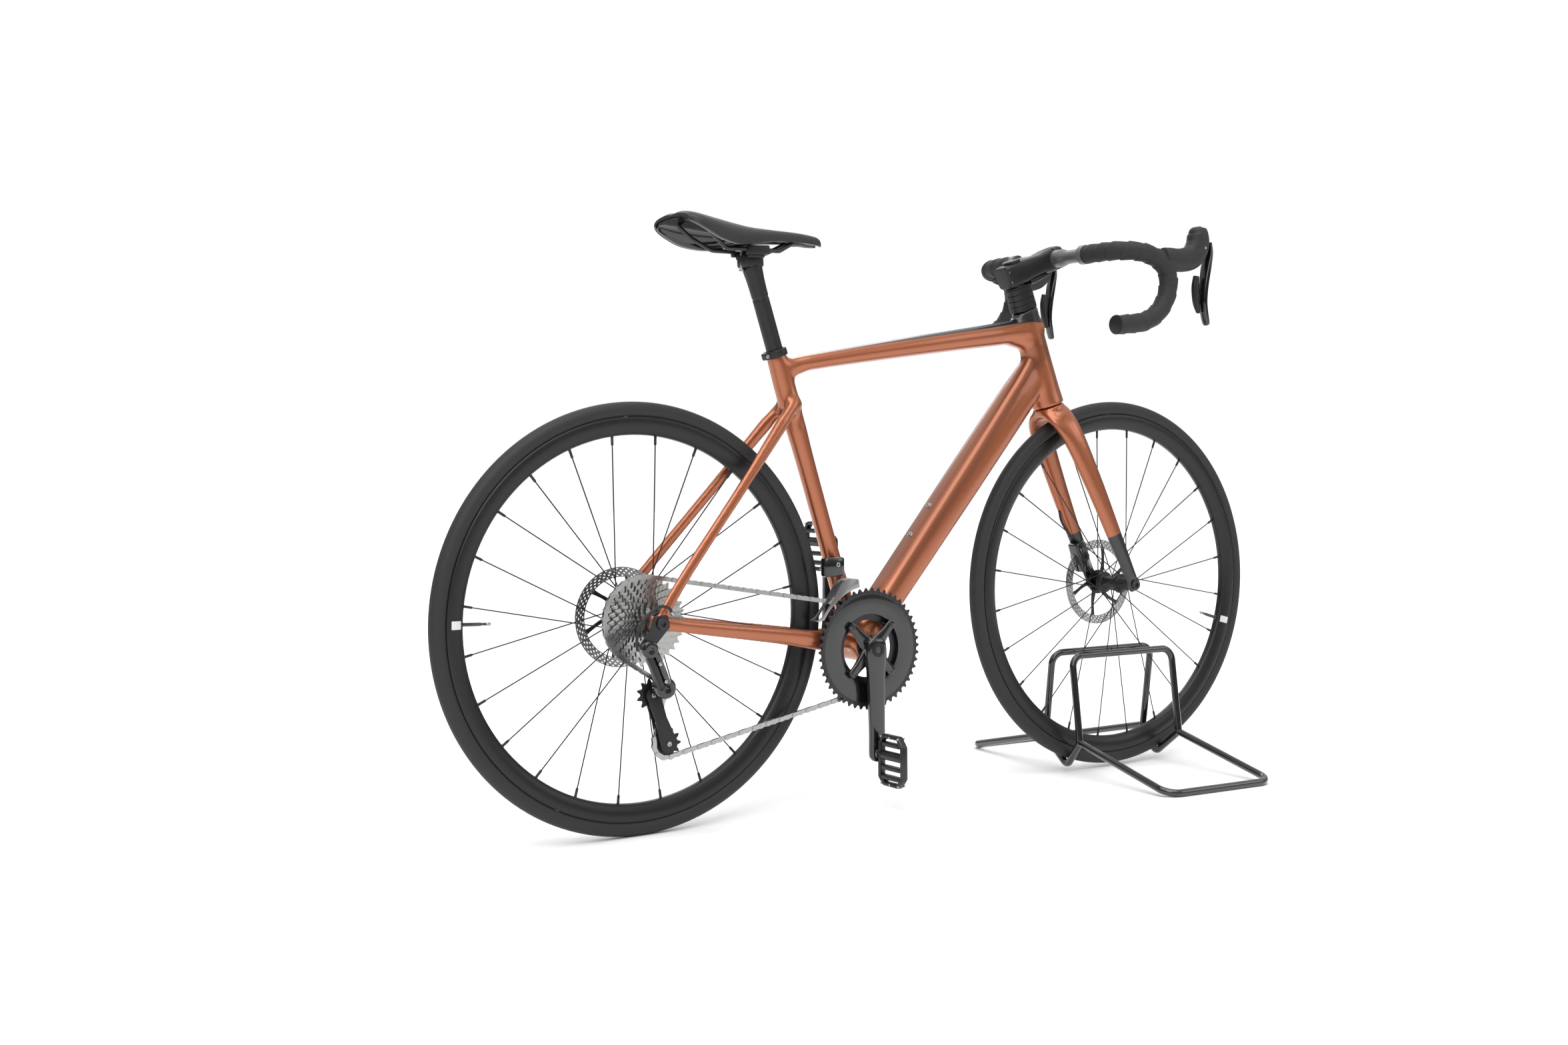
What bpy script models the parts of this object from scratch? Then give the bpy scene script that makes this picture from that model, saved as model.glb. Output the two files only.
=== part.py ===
"""Drop-bar road bicycle whose front wheel stands in a bent-tube display stand.

Metres, +Z up, +X towards the front wheel, -Y the drive side. The origin is on
the floor, midway between the two tyres' outer ends, in the bicycle's middle plane.
"""

import math

import bmesh
import bpy
from mathutils import Matrix, Vector

# ---------------------------------------------------------------- driving dimensions
WHEEL_RADIUS = 0.339
WHEELBASE = 1.004
TYRE_HALF_WIDTH = 0.0135
FRONT_LIFT = 0.006
BB_BACK = 0.410
BB_DROP = 0.071
HEAD_ANGLE = math.radians(71.6)
FORK_OFFSET = 0.045
SEAT_SLOPE = 0.3134
SEAT_AXIS_AHEAD = 0.005
CRANK_LENGTH = 0.1725
GAP = 0.0003

# Distances up the steering axis from the foot of the fork offset.
CROWN_TOP = 0.3650
HEAD_TOP = 0.5440
SPACERS_TOP = 0.5890
STEM_TOP = 0.6320

HANDLEBAR_CENTRE = Vector((0.349, 0, 0.940))
HANDLEBAR_RADIUS = 0.0119
TAPE_RADIUS = 0.0165

CHAIN_PITCH = 0.0127
BIG_RING_TEETH = 50
SMALL_RING_TEETH = 34
LARGEST_SPROCKET_TEETH = 34
SMALLEST_SPROCKET_TEETH = 11
SPROCKETS = 12
PULLEY_TEETH = 11
SPOKES = 24

BIG_RING_Y = -0.0480
SMALL_RING_Y = -0.0405
LARGEST_SPROCKET_Y = -0.0250
SPROCKET_STEP = 0.0034

STAND_TUBE_RADIUS = 0.0065
STAND_TURN = math.radians(-4.5)

# ---------------------------------------------------------------- derived places
REAR_AXLE = Vector((-WHEELBASE / 2, 0, WHEEL_RADIUS))
FRONT_AXLE = Vector((WHEELBASE / 2, 0, WHEEL_RADIUS + FRONT_LIFT))
BOTTOM_BRACKET = REAR_AXLE + Vector((BB_BACK, 0, -BB_DROP))
STEER_UP = Vector((-math.cos(HEAD_ANGLE), 0, math.sin(HEAD_ANGLE)))
STEER_AHEAD = Vector((math.sin(HEAD_ANGLE), 0, math.cos(HEAD_ANGLE)))
STEER_FOOT = FRONT_AXLE - STEER_AHEAD * FORK_OFFSET
SEAT_UP = Vector((-SEAT_SLOPE, 0, 1)).normalized()
SEAT_FOOT = BOTTOM_BRACKET + Vector((SEAT_AXIS_AHEAD, 0, 0))
GUIDE_PULLEY = Vector((-0.492, LARGEST_SPROCKET_Y, 0.2235))
TENSION_PULLEY = Vector((-0.466, LARGEST_SPROCKET_Y, 0.1445))
Y_AXIS = Vector((0, 1, 0))
Z_AXIS = Vector((0, 0, 1))


def steer(along, ahead=0.0, side=0.0):
    """A point given along the steering axis, ahead of it and to the side."""
    return STEER_FOOT + STEER_UP * along + STEER_AHEAD * ahead + Y_AXIS * side


def seat(height):
    """The point of the seat tube's axis at a height above the floor."""
    return SEAT_FOOT + SEAT_UP * ((height - SEAT_FOOT.z) / SEAT_UP.z)


def pitch_radius(teeth):
    return CHAIN_PITCH / (2 * math.sin(math.pi / teeth))


def root_radius(teeth):
    """The disc under a chain: where teeth and rollers mesh, the solid stops at the tooth roots."""
    return pitch_radius(teeth) - 0.0046


def placed(origin, z_axis, y_axis=Y_AXIS):
    """A frame at origin with its Z along one direction and its Y near another."""
    x_axis = y_axis.cross(z_axis).normalized()
    y_axis = z_axis.cross(x_axis).normalized()
    turn = Matrix((x_axis, y_axis, z_axis)).transposed().to_4x4()
    return Matrix.Translation(origin) @ turn


# ---------------------------------------------------------------- materials
FINISHES = {
    "copper_paint": ((0.55, 0.20, 0.09), 0.35, 0.7),
    "satin_black": ((0.03, 0.03, 0.032), 0.5, 0.2),
    "gloss_black": ((0.01, 0.01, 0.012), 0.12, 0.2),
    "rubber": ((0.03, 0.03, 0.03), 0.8, 0.0),
    "tape": ((0.035, 0.035, 0.037), 0.7, 0.0),
    "silver": ((0.62, 0.62, 0.63), 0.3, 1.0),
    "steel": ((0.42, 0.42, 0.43), 0.35, 1.0),
    "dark_metal": ((0.10, 0.10, 0.11), 0.4, 0.8),
    "stand_black": ((0.012, 0.012, 0.013), 0.2, 0.1),
}


def finish(name):
    material = bpy.data.materials.get(name)
    if material is None:
        colour, roughness, metallic = FINISHES[name]
        material = bpy.data.materials.new(name)
        material.use_nodes = True
        shader = material.node_tree.nodes["Principled BSDF"]
        shader.inputs["Base Color"].default_value = (*colour, 1)
        shader.inputs["Roughness"].default_value = roughness
        shader.inputs["Metallic"].default_value = metallic
    return material


# ---------------------------------------------------------------- mesh helpers
def solid(name, points, faces, finish_name, place=None):
    """One closed body from points and faces, with its faces turned outwards."""
    mesh = bpy.data.meshes.new(name)
    mesh.from_pydata([tuple(p) for p in points], [], faces)
    work = bmesh.new()
    work.from_mesh(mesh)
    bmesh.ops.recalc_face_normals(work, faces=work.faces)
    work.to_mesh(mesh)
    work.free()
    mesh.materials.append(finish(finish_name))
    mesh.shade_smooth()
    mesh.set_sharp_from_angle(angle=math.radians(40))
    thing = bpy.data.objects.new(name, mesh)
    bpy.context.scene.collection.objects.link(thing)
    if place is not None:
        thing.matrix_world = place
    return thing


def skin(rings, close_path=False, caps=True):
    """Faces that join rings of equal length, with flat caps at both ends."""
    count = len(rings[0])
    points = [p for one in rings for p in one]
    faces = []
    spans = len(rings) if close_path else len(rings) - 1
    for i in range(spans):
        a, b = i * count, ((i + 1) % len(rings)) * count
        for j in range(count):
            k = (j + 1) % count
            faces.append((a + j, a + k, b + k, b + j))
    if caps and not close_path:
        faces.append(tuple(range(count)))
        faces.append(tuple(range((len(rings) - 1) * count, len(rings) * count)))
    return points, faces


def ellipse(centre, across, up, half_across, half_up, sides=12, power=2.0):
    """A superellipse of points; a power above 2 squares its corners."""
    ring = []
    for i in range(sides):
        angle = 2 * math.pi * (i + 0.5) / sides
        c, s = math.cos(angle), math.sin(angle)
        u = math.copysign(abs(c) ** (2 / power), c) * half_across
        v = math.copysign(abs(s) ** (2 / power), s) * half_up
        ring.append(centre + across * u + up * v)
    return ring


def tangents(points, closed=False):
    count = len(points)
    result = []
    for i in range(count):
        before = points[(i - 1) % count] if closed else points[max(i - 1, 0)]
        after = points[(i + 1) % count] if closed else points[min(i + 1, count - 1)]
        result.append((after - before).normalized())
    return result


def tube_rings(stations, sides=12, power=2.0, grow=0.0):
    """Rings along stations of (centre, half width sideways, half height)."""
    centres = [Vector(s[0]) for s in stations]
    directions = tangents(centres)
    centres[0] = centres[0] - directions[0] * grow
    centres[-1] = centres[-1] + directions[-1] * grow
    rings = []
    for centre, direction, station in zip(centres, directions, stations):
        across = (Y_AXIS - direction * direction.y).normalized()
        up = direction.cross(across)
        rings.append(ellipse(centre, across, up, station[1] + grow, station[2] + grow, sides, power))
    return rings


def carried_frames(points, closed=False, first_side=None):
    """Side and up directions carried along a path without twisting."""
    along = tangents(points, closed)
    side = first_side or (Y_AXIS if abs(along[0].y) < 0.9 else Z_AXIS)
    frames = []
    for direction in along:
        side = (side - direction * side.dot(direction)).normalized()
        frames.append((side, direction.cross(side)))
    return frames


def sweep_rings(points, radius, sides=8, closed=False, first_side=None):
    frames = carried_frames(points, closed, first_side)
    return [ellipse(p, side, up, radius, radius, sides) for p, (side, up) in zip(points, frames)]


def sweep(name, points, radius, finish_name, sides=8, closed=False):
    return solid(name, *skin(sweep_rings(points, radius, sides, closed), closed), finish_name)


def double_wall(outer, inner):
    """A pipe's wall between two stacks of rings, open at both ends."""
    count = len(outer[0])
    loop = outer + inner[::-1]
    points = [p for one in loop for p in one]
    faces = []
    for i in range(len(loop)):
        a, b = i * count, ((i + 1) % len(loop)) * count
        for j in range(count):
            k = (j + 1) % count
            faces.append((a + j, a + k, b + k, b + j))
    return points, faces


def turned(name, profile, finish_name, centre, segments=32, hollow=True):
    """A profile of (radius, distance) turned round an axle through centre.

    Distance runs towards the drive side. A hollow profile is a closed loop.
    """
    rings = []
    for i in range(segments):
        angle = 2 * math.pi * i / segments
        c, s = math.cos(angle), math.sin(angle)
        rings.append([Vector((r * c, r * s, z)) for r, z in profile])
    if hollow:
        points, faces = skin(rings, close_path=True)
    else:
        points, faces = turned_rod(profile, segments)
    turn = Matrix.Rotation(math.pi / 2, 4, "X")
    return solid(name, points, faces, finish_name, Matrix.Translation(centre) @ turn)


def turned_rod(profile, segments):
    """Stacked circles of an unbored turned piece, capped at both ends."""
    rings = []
    for r, z in profile:
        angles = [2 * math.pi * i / segments for i in range(segments)]
        rings.append([Vector((r * math.cos(a), r * math.sin(a), z)) for a in angles])
    return skin(rings)


def slab(name, outline, thickness, finish_name, place):
    """A flat plate: outline in its own XY plane, centred on the plane in Z."""
    half = thickness / 2
    low = [Vector((x, y, -half)) for x, y in outline]
    high = [Vector((x, y, half)) for x, y in outline]
    return solid(name, *skin([low, high]), finish_name, place)


def grid_plate(name, radii, segments, is_metal, thickness, finish_name, place):
    """A round plate on a polar grid of cells, open where is_metal says no."""
    half = thickness / 2
    points = []
    for z in (-half, half):
        for r in radii:
            for j in range(segments):
                angle = 2 * math.pi * j / segments
                points.append(Vector((r * math.cos(angle), r * math.sin(angle), z)))
    level = len(radii) * segments

    def corner(i, j, top):
        return top * level + i * segments + j % segments

    faces = []
    for i in range(len(radii) - 1):
        for j in range(segments):
            if not is_metal(i, j):
                continue
            for top in (0, 1):
                faces.append((corner(i, j, top), corner(i + 1, j, top),
                              corner(i + 1, j + 1, top), corner(i, j + 1, top)))
            sides = (
                (i - 1, j, (i, j), (i, j + 1)),
                (i + 1, j, (i + 1, j), (i + 1, j + 1)),
                (i, j - 1, (i, j), (i + 1, j)),
                (i, j + 1, (i, j + 1), (i + 1, j + 1)),
            )
            for other_i, other_j, a, b in sides:
                inside = 0 <= other_i < len(radii) - 1
                if not (inside and is_metal(other_i, other_j % segments)):
                    faces.append((corner(*a, 0), corner(*b, 0), corner(*b, 1), corner(*a, 1)))
    used = sorted({v for face in faces for v in face})
    renumbered = {old: new for new, old in enumerate(used)}
    faces = [tuple(renumbered[v] for v in face) for face in faces]
    return solid(name, [points[v] for v in used], faces, finish_name, place)


def toothed_ring(name, teeth, inner_radius, thickness, finish_name, centre):
    """A chainring or pulley: pointed teeth outside, a plain bore inside."""
    pitch = pitch_radius(teeth)
    tip, root = pitch + 0.0028, pitch - 0.0036
    rings = []
    for i in range(2 * teeth):
        angle = math.pi * i / teeth
        outer = tip if i % 2 else root
        c, s = math.cos(angle), math.sin(angle)
        profile = ((inner_radius, -1), (inner_radius, 1), (outer, 1), (outer, -1))
        rings.append([Vector((r * c, r * s, z * thickness / 2)) for r, z in profile])
    place = Matrix.Translation(centre) @ Matrix.Rotation(math.pi / 2, 4, "X")
    return solid(name, *skin(rings, close_path=True), finish_name, place)


def box(name, low, high, finish_name, place=None):
    """A plain block, a cutter or a stock piece to be cut and bevelled."""
    xs, ys, zs = zip(low, high)
    base = [Vector((xs[i], ys[j], zs[0])) for i, j in ((0, 0), (1, 0), (1, 1), (0, 1))]
    top = [p + Vector((0, 0, zs[1] - zs[0])) for p in base]
    return solid(name, *skin([base, top]), finish_name, place)


def bevelled(thing, width, segments=1):
    step = thing.modifiers.new("bevel", "BEVEL")
    step.width = width
    step.segments = segments
    step.limit_method = "ANGLE"
    return thing


def combine(thing, tools, operation):
    """Boolean modifiers on thing; the tools stay in the file as wire guides."""
    for tool in tools:
        step = thing.modifiers.new(operation.lower(), "BOOLEAN")
        step.operation = operation
        step.object = tool
        step.solver = "EXACT"
        tool.hide_render = True
        tool.display_type = "WIRE"
    return thing


def cut(thing, *tools):
    return combine(thing, tools, "DIFFERENCE")


def fuse(thing, *tools):
    return combine(thing, tools, "UNION")


def rounded(corners, radius, steps=4, closed=False):
    """A path through corners, each turned by an arc of the given radius."""
    corners = [Vector(c) for c in corners]
    count = len(corners)
    path = [] if closed else [corners[0]]
    for i in range(count) if closed else range(1, count - 1):
        here = corners[i]
        back = (corners[i - 1] - here).normalized()
        ahead = (corners[(i + 1) % count] - here).normalized()
        half_angle = back.angle(ahead) / 2
        reach = radius / math.tan(half_angle)
        middle = here + (back + ahead).normalized() * (radius / math.sin(half_angle))
        first = here + back * reach - middle
        last = here + ahead * reach - middle
        for step in range(steps + 1):
            path.append(middle + first.slerp(last, step / steps).normalized() * radius)
    if not closed:
        path.append(corners[-1])
    return path


def smooth_path(controls, steps=4):
    """Points on a Catmull-Rom curve through the controls."""
    controls = [Vector(c) for c in controls]
    padded = [controls[0] * 2 - controls[1], *controls, controls[-1] * 2 - controls[-2]]
    path = []
    for a, b, c, d in zip(padded, padded[1:], padded[2:], padded[3:]):
        for i in range(steps):
            t = i / steps
            path.append(0.5 * (2 * b + (c - a) * t + (2 * a - 5 * b + 4 * c - d) * t ** 2
                               + (3 * b - a - 3 * c + d) * t ** 3))
    path.append(controls[-1])
    return path


def mirrored(points):
    return [Vector((p.x, -p.y, p.z)) for p in points]


# ---------------------------------------------------------------- bodies
BODIES = {}


def body(name, pivot, parent=None):
    """An empty on a joint's axis that carries the pieces of one moving body."""
    empty = bpy.data.objects.new(name + "_pivot", None)
    empty.empty_display_size = 0.03
    bpy.context.scene.collection.objects.link(empty)
    empty.matrix_world = Matrix.Translation(pivot)
    BODIES[name] = empty
    if parent:
        attach(empty, parent)
    return empty


def attach(thing, body_name):
    """Parents a piece to a body where it is, keeping its world place."""
    bpy.context.view_layer.update()
    world = thing.matrix_world.copy()
    carrier = BODIES[body_name]
    thing.parent = carrier
    thing.matrix_parent_inverse = carrier.matrix_world.inverted()
    thing.matrix_world = world
    return thing


# ---------------------------------------------------------------- frame
def head_tube(name, grow=0.0):
    stations = (
        (steer(CROWN_TOP + GAP), 0.0270, 0.0295),
        (steer(0.405), 0.0235, 0.0285),
        (steer(0.500), 0.0205, 0.0270),
        (steer(HEAD_TOP), 0.0200, 0.0265),
    )
    outer = tube_rings(stations, 16, 2.2, grow)
    if grow:
        return solid(name, *skin(outer), "copper_paint")
    bore = tube_rings([(s[0], 0.0175, 0.0175) for s in stations], 16)
    return solid(name, *double_wall(outer, bore), "copper_paint")


SEAT_TOP = 0.7590
SEAT_BORE_FLOOR = 0.530
SEATPOST_RADIUS = 0.0136


def seat_tube(name, grow=0.0):
    stations = (
        (seat(0.268), 0.0250, 0.0180),
        (seat(0.330), 0.0190, 0.0165),
        (seat(0.440), 0.0155, 0.0150),
        (seat(0.585), 0.0155, 0.0155),
        (seat(0.690), 0.0175, 0.0190),
        (seat(SEAT_TOP), 0.0168, 0.0168),
    )
    outer = tube_rings(stations, 16, 2.0, grow)
    if grow:
        return solid(name, *skin(outer), "copper_paint")
    reach = SEATPOST_RADIUS + GAP
    bore = tube_rings([(seat(z), reach, reach) for z in (SEAT_BORE_FLOOR, SEAT_TOP)], 16)
    return solid(name, *skin(outer + bore[::-1]), "copper_paint")


def bottom_bracket_shell(name, grow=0.0):
    radius, half_width, bore = 0.0235, 0.0425, 0.0180
    if grow:
        profile = [(radius + grow, -half_width - grow), (radius + grow, half_width + grow)]
        return turned(name, profile, "copper_paint", BOTTOM_BRACKET, 24, hollow=False)
    profile = [(bore, -half_width), (bore, half_width), (radius, half_width), (radius, -half_width)]
    return turned(name, profile, "copper_paint", BOTTOM_BRACKET, 24)


def down_tube(name, grow=0.0):
    stations = (
        (BOTTOM_BRACKET + Vector((0.006, 0, 0.007)), 0.0310, 0.0250),
        (Vector((-0.010, 0, 0.363)), 0.0300, 0.0270),
        (Vector((0.150, 0, 0.549)), 0.0285, 0.0300),
        (Vector((0.262, 0, 0.679)), 0.0245, 0.0320),
        (Vector((0.322, 0, 0.749)), 0.0165, 0.0330),
    )
    return solid(name, *skin(tube_rings(stations, 12, 2.6, grow)), "copper_paint")


def top_tube(name, grow=0.0):
    stations = (
        (Vector((-0.238, 0, 0.7310)), 0.0165, 0.0150),
        (Vector((-0.180, 0, 0.7440)), 0.0180, 0.0132),
        (Vector((0.000, 0, 0.7710)), 0.0200, 0.0160),
        (Vector((0.200, 0, 0.7985)), 0.0215, 0.0195),
        (Vector((0.300, 0, 0.8120)), 0.0200, 0.0225),
    )
    return solid(name, *skin(tube_rings(stations, 12, 2.4, grow)), "copper_paint")


def chainstay(name, side, grow=0.0):
    stations = (
        (Vector((-0.108, side * 0.0275, 0.283)), 0.0095, 0.0170),
        (Vector((-0.175, side * 0.0290, 0.286)), 0.0080, 0.0165),
        (Vector((-0.270, side * 0.0460, 0.302)), 0.0078, 0.0135),
        (Vector((-0.400, side * 0.0660, 0.322)), 0.0070, 0.0110),
        (Vector((-0.470, side * 0.0755, 0.333)), 0.0042, 0.0100),
        (Vector((-0.519, side * 0.0755, 0.341)), 0.0042, 0.0120),
    )
    return solid(name, *skin(tube_rings(stations, 10, 2.3, grow)), "copper_paint")


def seatstay(name, side):
    stations = (
        (Vector((-0.205, side * 0.0120, 0.6800)), 0.0085, 0.0100),
        (Vector((-0.236, side * 0.0235, 0.6520)), 0.0065, 0.0095),
        (Vector((-0.330, side * 0.0440, 0.5460)), 0.0062, 0.0085),
        (Vector((-0.440, side * 0.0650, 0.4220)), 0.0058, 0.0085),
        (Vector((-0.485, side * 0.0755, 0.3680)), 0.0040, 0.0090),
        (Vector((-0.497, side * 0.0755, 0.3470)), 0.0040, 0.0095),
    )
    return solid(name, *skin(tube_rings(stations, 10, 2.2)), "copper_paint")


SIDES = (("right", -1), ("left", 1))
AXLE_RADIUS = 0.0060


def axle_cutter(name, centre, radius, reach):
    return turned(name, [(radius, -reach), (radius, reach)], "steel", centre, 24, hollow=False)


def frame_tubes():
    head = head_tube("head_tube")
    post_tube = seat_tube("seat_tube")
    shell = bottom_bracket_shell("bottom_bracket_shell")
    down = down_tube("down_tube")
    top = top_tube("top_tube")
    head_guide = head_tube("head_tube_guide", GAP)
    seat_guide = seat_tube("seat_tube_guide", GAP)
    shell_guide = bottom_bracket_shell("shell_guide", GAP)
    down_guide = down_tube("down_tube_guide", GAP)
    axle_guide = axle_cutter("rear_axle_guide", REAR_AXLE, AXLE_RADIUS + GAP, 0.1)
    cut(post_tube, shell_guide)
    cut(down, head_guide, seat_guide, shell_guide)
    cut(top, head_guide, seat_guide, down_guide)
    pieces = [head, post_tube, shell, down, top]
    for word, side in SIDES:
        lower = chainstay("chainstay_" + word, side)
        lower_guide = chainstay("chainstay_guide_" + word, side, GAP)
        upper = seatstay("seatstay_" + word, side)
        cut(lower, shell_guide, seat_guide, down_guide, axle_guide)
        cut(upper, seat_guide, lower_guide, axle_guide)
        pieces += [lower, upper]
    return pieces


DOWN_TUBE_LOW = Vector((-0.010, 0, 0.363))
DOWN_TUBE_ALONG = (Vector((0.262, 0, 0.679)) - DOWN_TUBE_LOW).normalized()
DOWN_TUBE_UP = Vector((-DOWN_TUBE_ALONG.z, 0, DOWN_TUBE_ALONG.x))
BOTTLE_BOLT_SPACING = 0.064
LOWER_BOTTLE_BOLT = 0.0935


def bottle_bolt(name, distance):
    """A bolt in a rivet nut; a bottle cage rests on the nut's flat flange."""
    height = 0.02665 + 0.0119 * distance
    base = DOWN_TUBE_LOW + DOWN_TUBE_ALONG * distance + DOWN_TUBE_UP * height
    profile = [(0.0050, 0.0), (0.0055, 0.0004), (0.0055, 0.0016), (0.0036, 0.0016),
               (0.0036, 0.0036), (0.0022, 0.0046)]
    return solid(name, *turned_rod(profile, 16), "silver", placed(base, DOWN_TUBE_UP))


def bottle_bolts():
    return [bottle_bolt("bottle_bolt_lower", LOWER_BOTTLE_BOLT),
            bottle_bolt("bottle_bolt_upper", LOWER_BOTTLE_BOLT + BOTTLE_BOLT_SPACING)]


def seatpost_collar():
    """A clamp ring round the seat tube's mouth with a lip over its edge."""
    lip = SEAT_TOP + 0.0012
    outer = tube_rings([(seat(z), 0.0192, 0.0192) for z in (SEAT_TOP - 0.006, SEAT_TOP + 0.0045)], 16)
    steps = ((SEAT_TOP - 0.006, 0.0178), (lip, 0.0178), (lip + 0.0002, 0.0141), (SEAT_TOP + 0.0045, 0.0141))
    inner = tube_rings([(seat(z), r, r) for z, r in steps], 16)
    return solid("seatpost_collar", *double_wall(outer, inner), "satin_black")


def rear_thru_axle():
    profile = [(AXLE_RADIUS, -0.0790), (AXLE_RADIUS, 0.0842), (0.0085, 0.0842), (0.0085, 0.0880)]
    return turned("rear_thru_axle", profile, "dark_metal", REAR_AXLE, 24, hollow=False)


ROTOR_RADIUS = 0.080
REAR_ROTOR_Y = 0.0540
FRONT_ROTOR_Y = 0.0395
ROTOR_THICKNESS = 0.0018


def caliper(name, axle, offset, along, rotor_y):
    """A brake caliper: a block set along a direction, slotted over the rotor."""
    centre = Vector((axle.x + offset.x, rotor_y, axle.z + offset.z))
    block = box(name, (-0.0130, -0.0160, -0.0290), (0.0130, 0.0160, 0.0290), "gloss_black",
                placed(centre, along))
    slot_profile = [(ROTOR_RADIUS + 0.0015, -0.0022), (ROTOR_RADIUS + 0.0015, 0.0022)]
    slot_centre = Vector((axle.x, rotor_y, axle.z))
    slot = turned(name + "_slot", slot_profile, "steel", slot_centre, 48, hollow=False)
    return cut(bevelled(block, 0.005), slot)


def rear_caliper():
    along = Vector((0.985, 0, -0.170)).normalized()
    block = caliper("rear_brake_caliper", REAR_AXLE, Vector((0.0640, 0, 0.0190)), along, REAR_ROTOR_Y)
    return cut(block, chainstay("caliper_stay_guide", 1, GAP))


def derailleur_hanger():
    outline = [(-0.012, 0.012), (0.010, 0.012), (0.013, -0.006), (-0.010, -0.030), (-0.034, -0.042),
               (-0.040, -0.032), (-0.022, -0.012)]
    place = Matrix.Translation(REAR_AXLE + Vector((0, -0.0820, 0))) @ Matrix.Rotation(math.pi / 2, 4, "X")
    plate = slab("derailleur_hanger", outline, 0.0036, "dark_metal", place)
    return cut(plate, axle_cutter("hanger_axle_guide", REAR_AXLE, AXLE_RADIUS + GAP, 0.1))


# ---------------------------------------------------------------- seat
RAIL_LEVEL = 0.9210
RAIL_SIDE = 0.0220
RAIL_RADIUS = 0.0035


def seatpost(name="seatpost", grow=0.0):
    stations = [(seat(z), SEATPOST_RADIUS, SEATPOST_RADIUS) for z in (0.640, 0.860)]
    stations += [(seat(0.876), 0.0150, 0.0145), (seat(0.897), 0.0165, 0.0165)]
    return solid(name, *skin(tube_rings(stations, 16, 2.0, grow)), "satin_black")


def saddle_clamp():
    """The cradle on the post's head and its cheeks, which hold the rails."""
    middle = seat(0.905).x
    block = box("saddle_clamp", (middle - 0.021, -0.0275, 0.8935), (middle + 0.021, 0.0275, 0.9280),
                "satin_black")
    return cut(bevelled(block, 0.004), rails_guide("clamp_rail_guide"), seatpost("clamp_post_guide", GAP))


def rail_path():
    half = [(-0.3960, 0.0380, 0.9575), (-0.3760, 0.0340, 0.9400), (-0.3450, RAIL_SIDE, RAIL_LEVEL),
            (-0.2450, RAIL_SIDE, RAIL_LEVEL), (-0.2130, 0.0120, 0.9365), (-0.1900, 0.0070, 0.9380)]
    left = rounded(half, 0.012, 3)
    return left + mirrored(left)[::-1]


def rails_guide(name):
    rings = sweep_rings(rail_path(), RAIL_RADIUS + GAP, 8)
    return solid(name, *skin(rings), "steel")


SADDLE_STATIONS = (
    (-0.1570, 0.0120, 0.9440, 0.0100),
    (-0.1640, 0.0185, 0.9500, 0.0150),
    (-0.2000, 0.0215, 0.9550, 0.0180),
    (-0.2500, 0.0260, 0.9570, 0.0210),
    (-0.2950, 0.0390, 0.9590, 0.0280),
    (-0.3350, 0.0560, 0.9640, 0.0400),
    (-0.3750, 0.0680, 0.9700, 0.0410),
    (-0.4050, 0.0710, 0.9740, 0.0320),
    (-0.4250, 0.0640, 0.9740, 0.0220),
    (-0.4310, 0.0560, 0.9710, 0.0140),
)


def saddle_arch(inset, thickness):
    """Arched rings open beneath: an outer curve and an inner one a wall's thickness inside."""
    rings = []
    for x, half_width, top, drop in SADDLE_STATIONS:
        ring = []
        for wall in (inset, inset + thickness):
            half = half_width - wall
            arc = []
            for i in range(9):
                angle = math.pi * i / 8
                side = math.cos(angle)
                rise = math.sin(angle) ** 0.7
                arc.append(Vector((x, half * side, top - drop + (drop - wall) * rise)))
            ring.append(arc)
        rings.append(ring[0] + ring[1][::-1])
    return rings


def saddle():
    cover = solid("saddle_cover", *skin(saddle_arch(0.0, 0.006)), "rubber")
    base_rings = saddle_arch(0.0075, 0.0020)[1:-1]
    base = solid("saddle_base", *skin(base_rings), "satin_black")
    rails = sweep("saddle_rails", rail_path(), RAIL_RADIUS, "dark_metal")
    cut(base, rails_guide("base_rail_guide"))
    return [cover, base, rails]


# ---------------------------------------------------------------- wheels
TYRE_CENTRE_RADIUS = WHEEL_RADIUS - TYRE_HALF_WIDTH
RIM_OUTER = 0.3160
RIM_INNER = 0.2875


def tyre_profile():
    outer, inner = [], []
    for i in range(7):
        angle = math.radians(-132 + 264 * i / 6)
        c, s = math.cos(angle), math.sin(angle)
        outer.append((TYRE_CENTRE_RADIUS + TYRE_HALF_WIDTH * c, TYRE_HALF_WIDTH * s))
    for i in range(4):
        angle = math.radians(130 - 260 * i / 3)
        c, s = math.cos(angle), math.sin(angle)
        inner.append((TYRE_CENTRE_RADIUS + 0.0105 * c, 0.0105 * s))
    return outer + inner


def rim_profile():
    half = [(0.3105, 0.0095), (RIM_OUTER, 0.0110), (0.3080, 0.0125), (0.2960, 0.0100), (RIM_INNER, 0.0035)]
    return half + [(r, -w) for r, w in reversed(half)]


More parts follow.
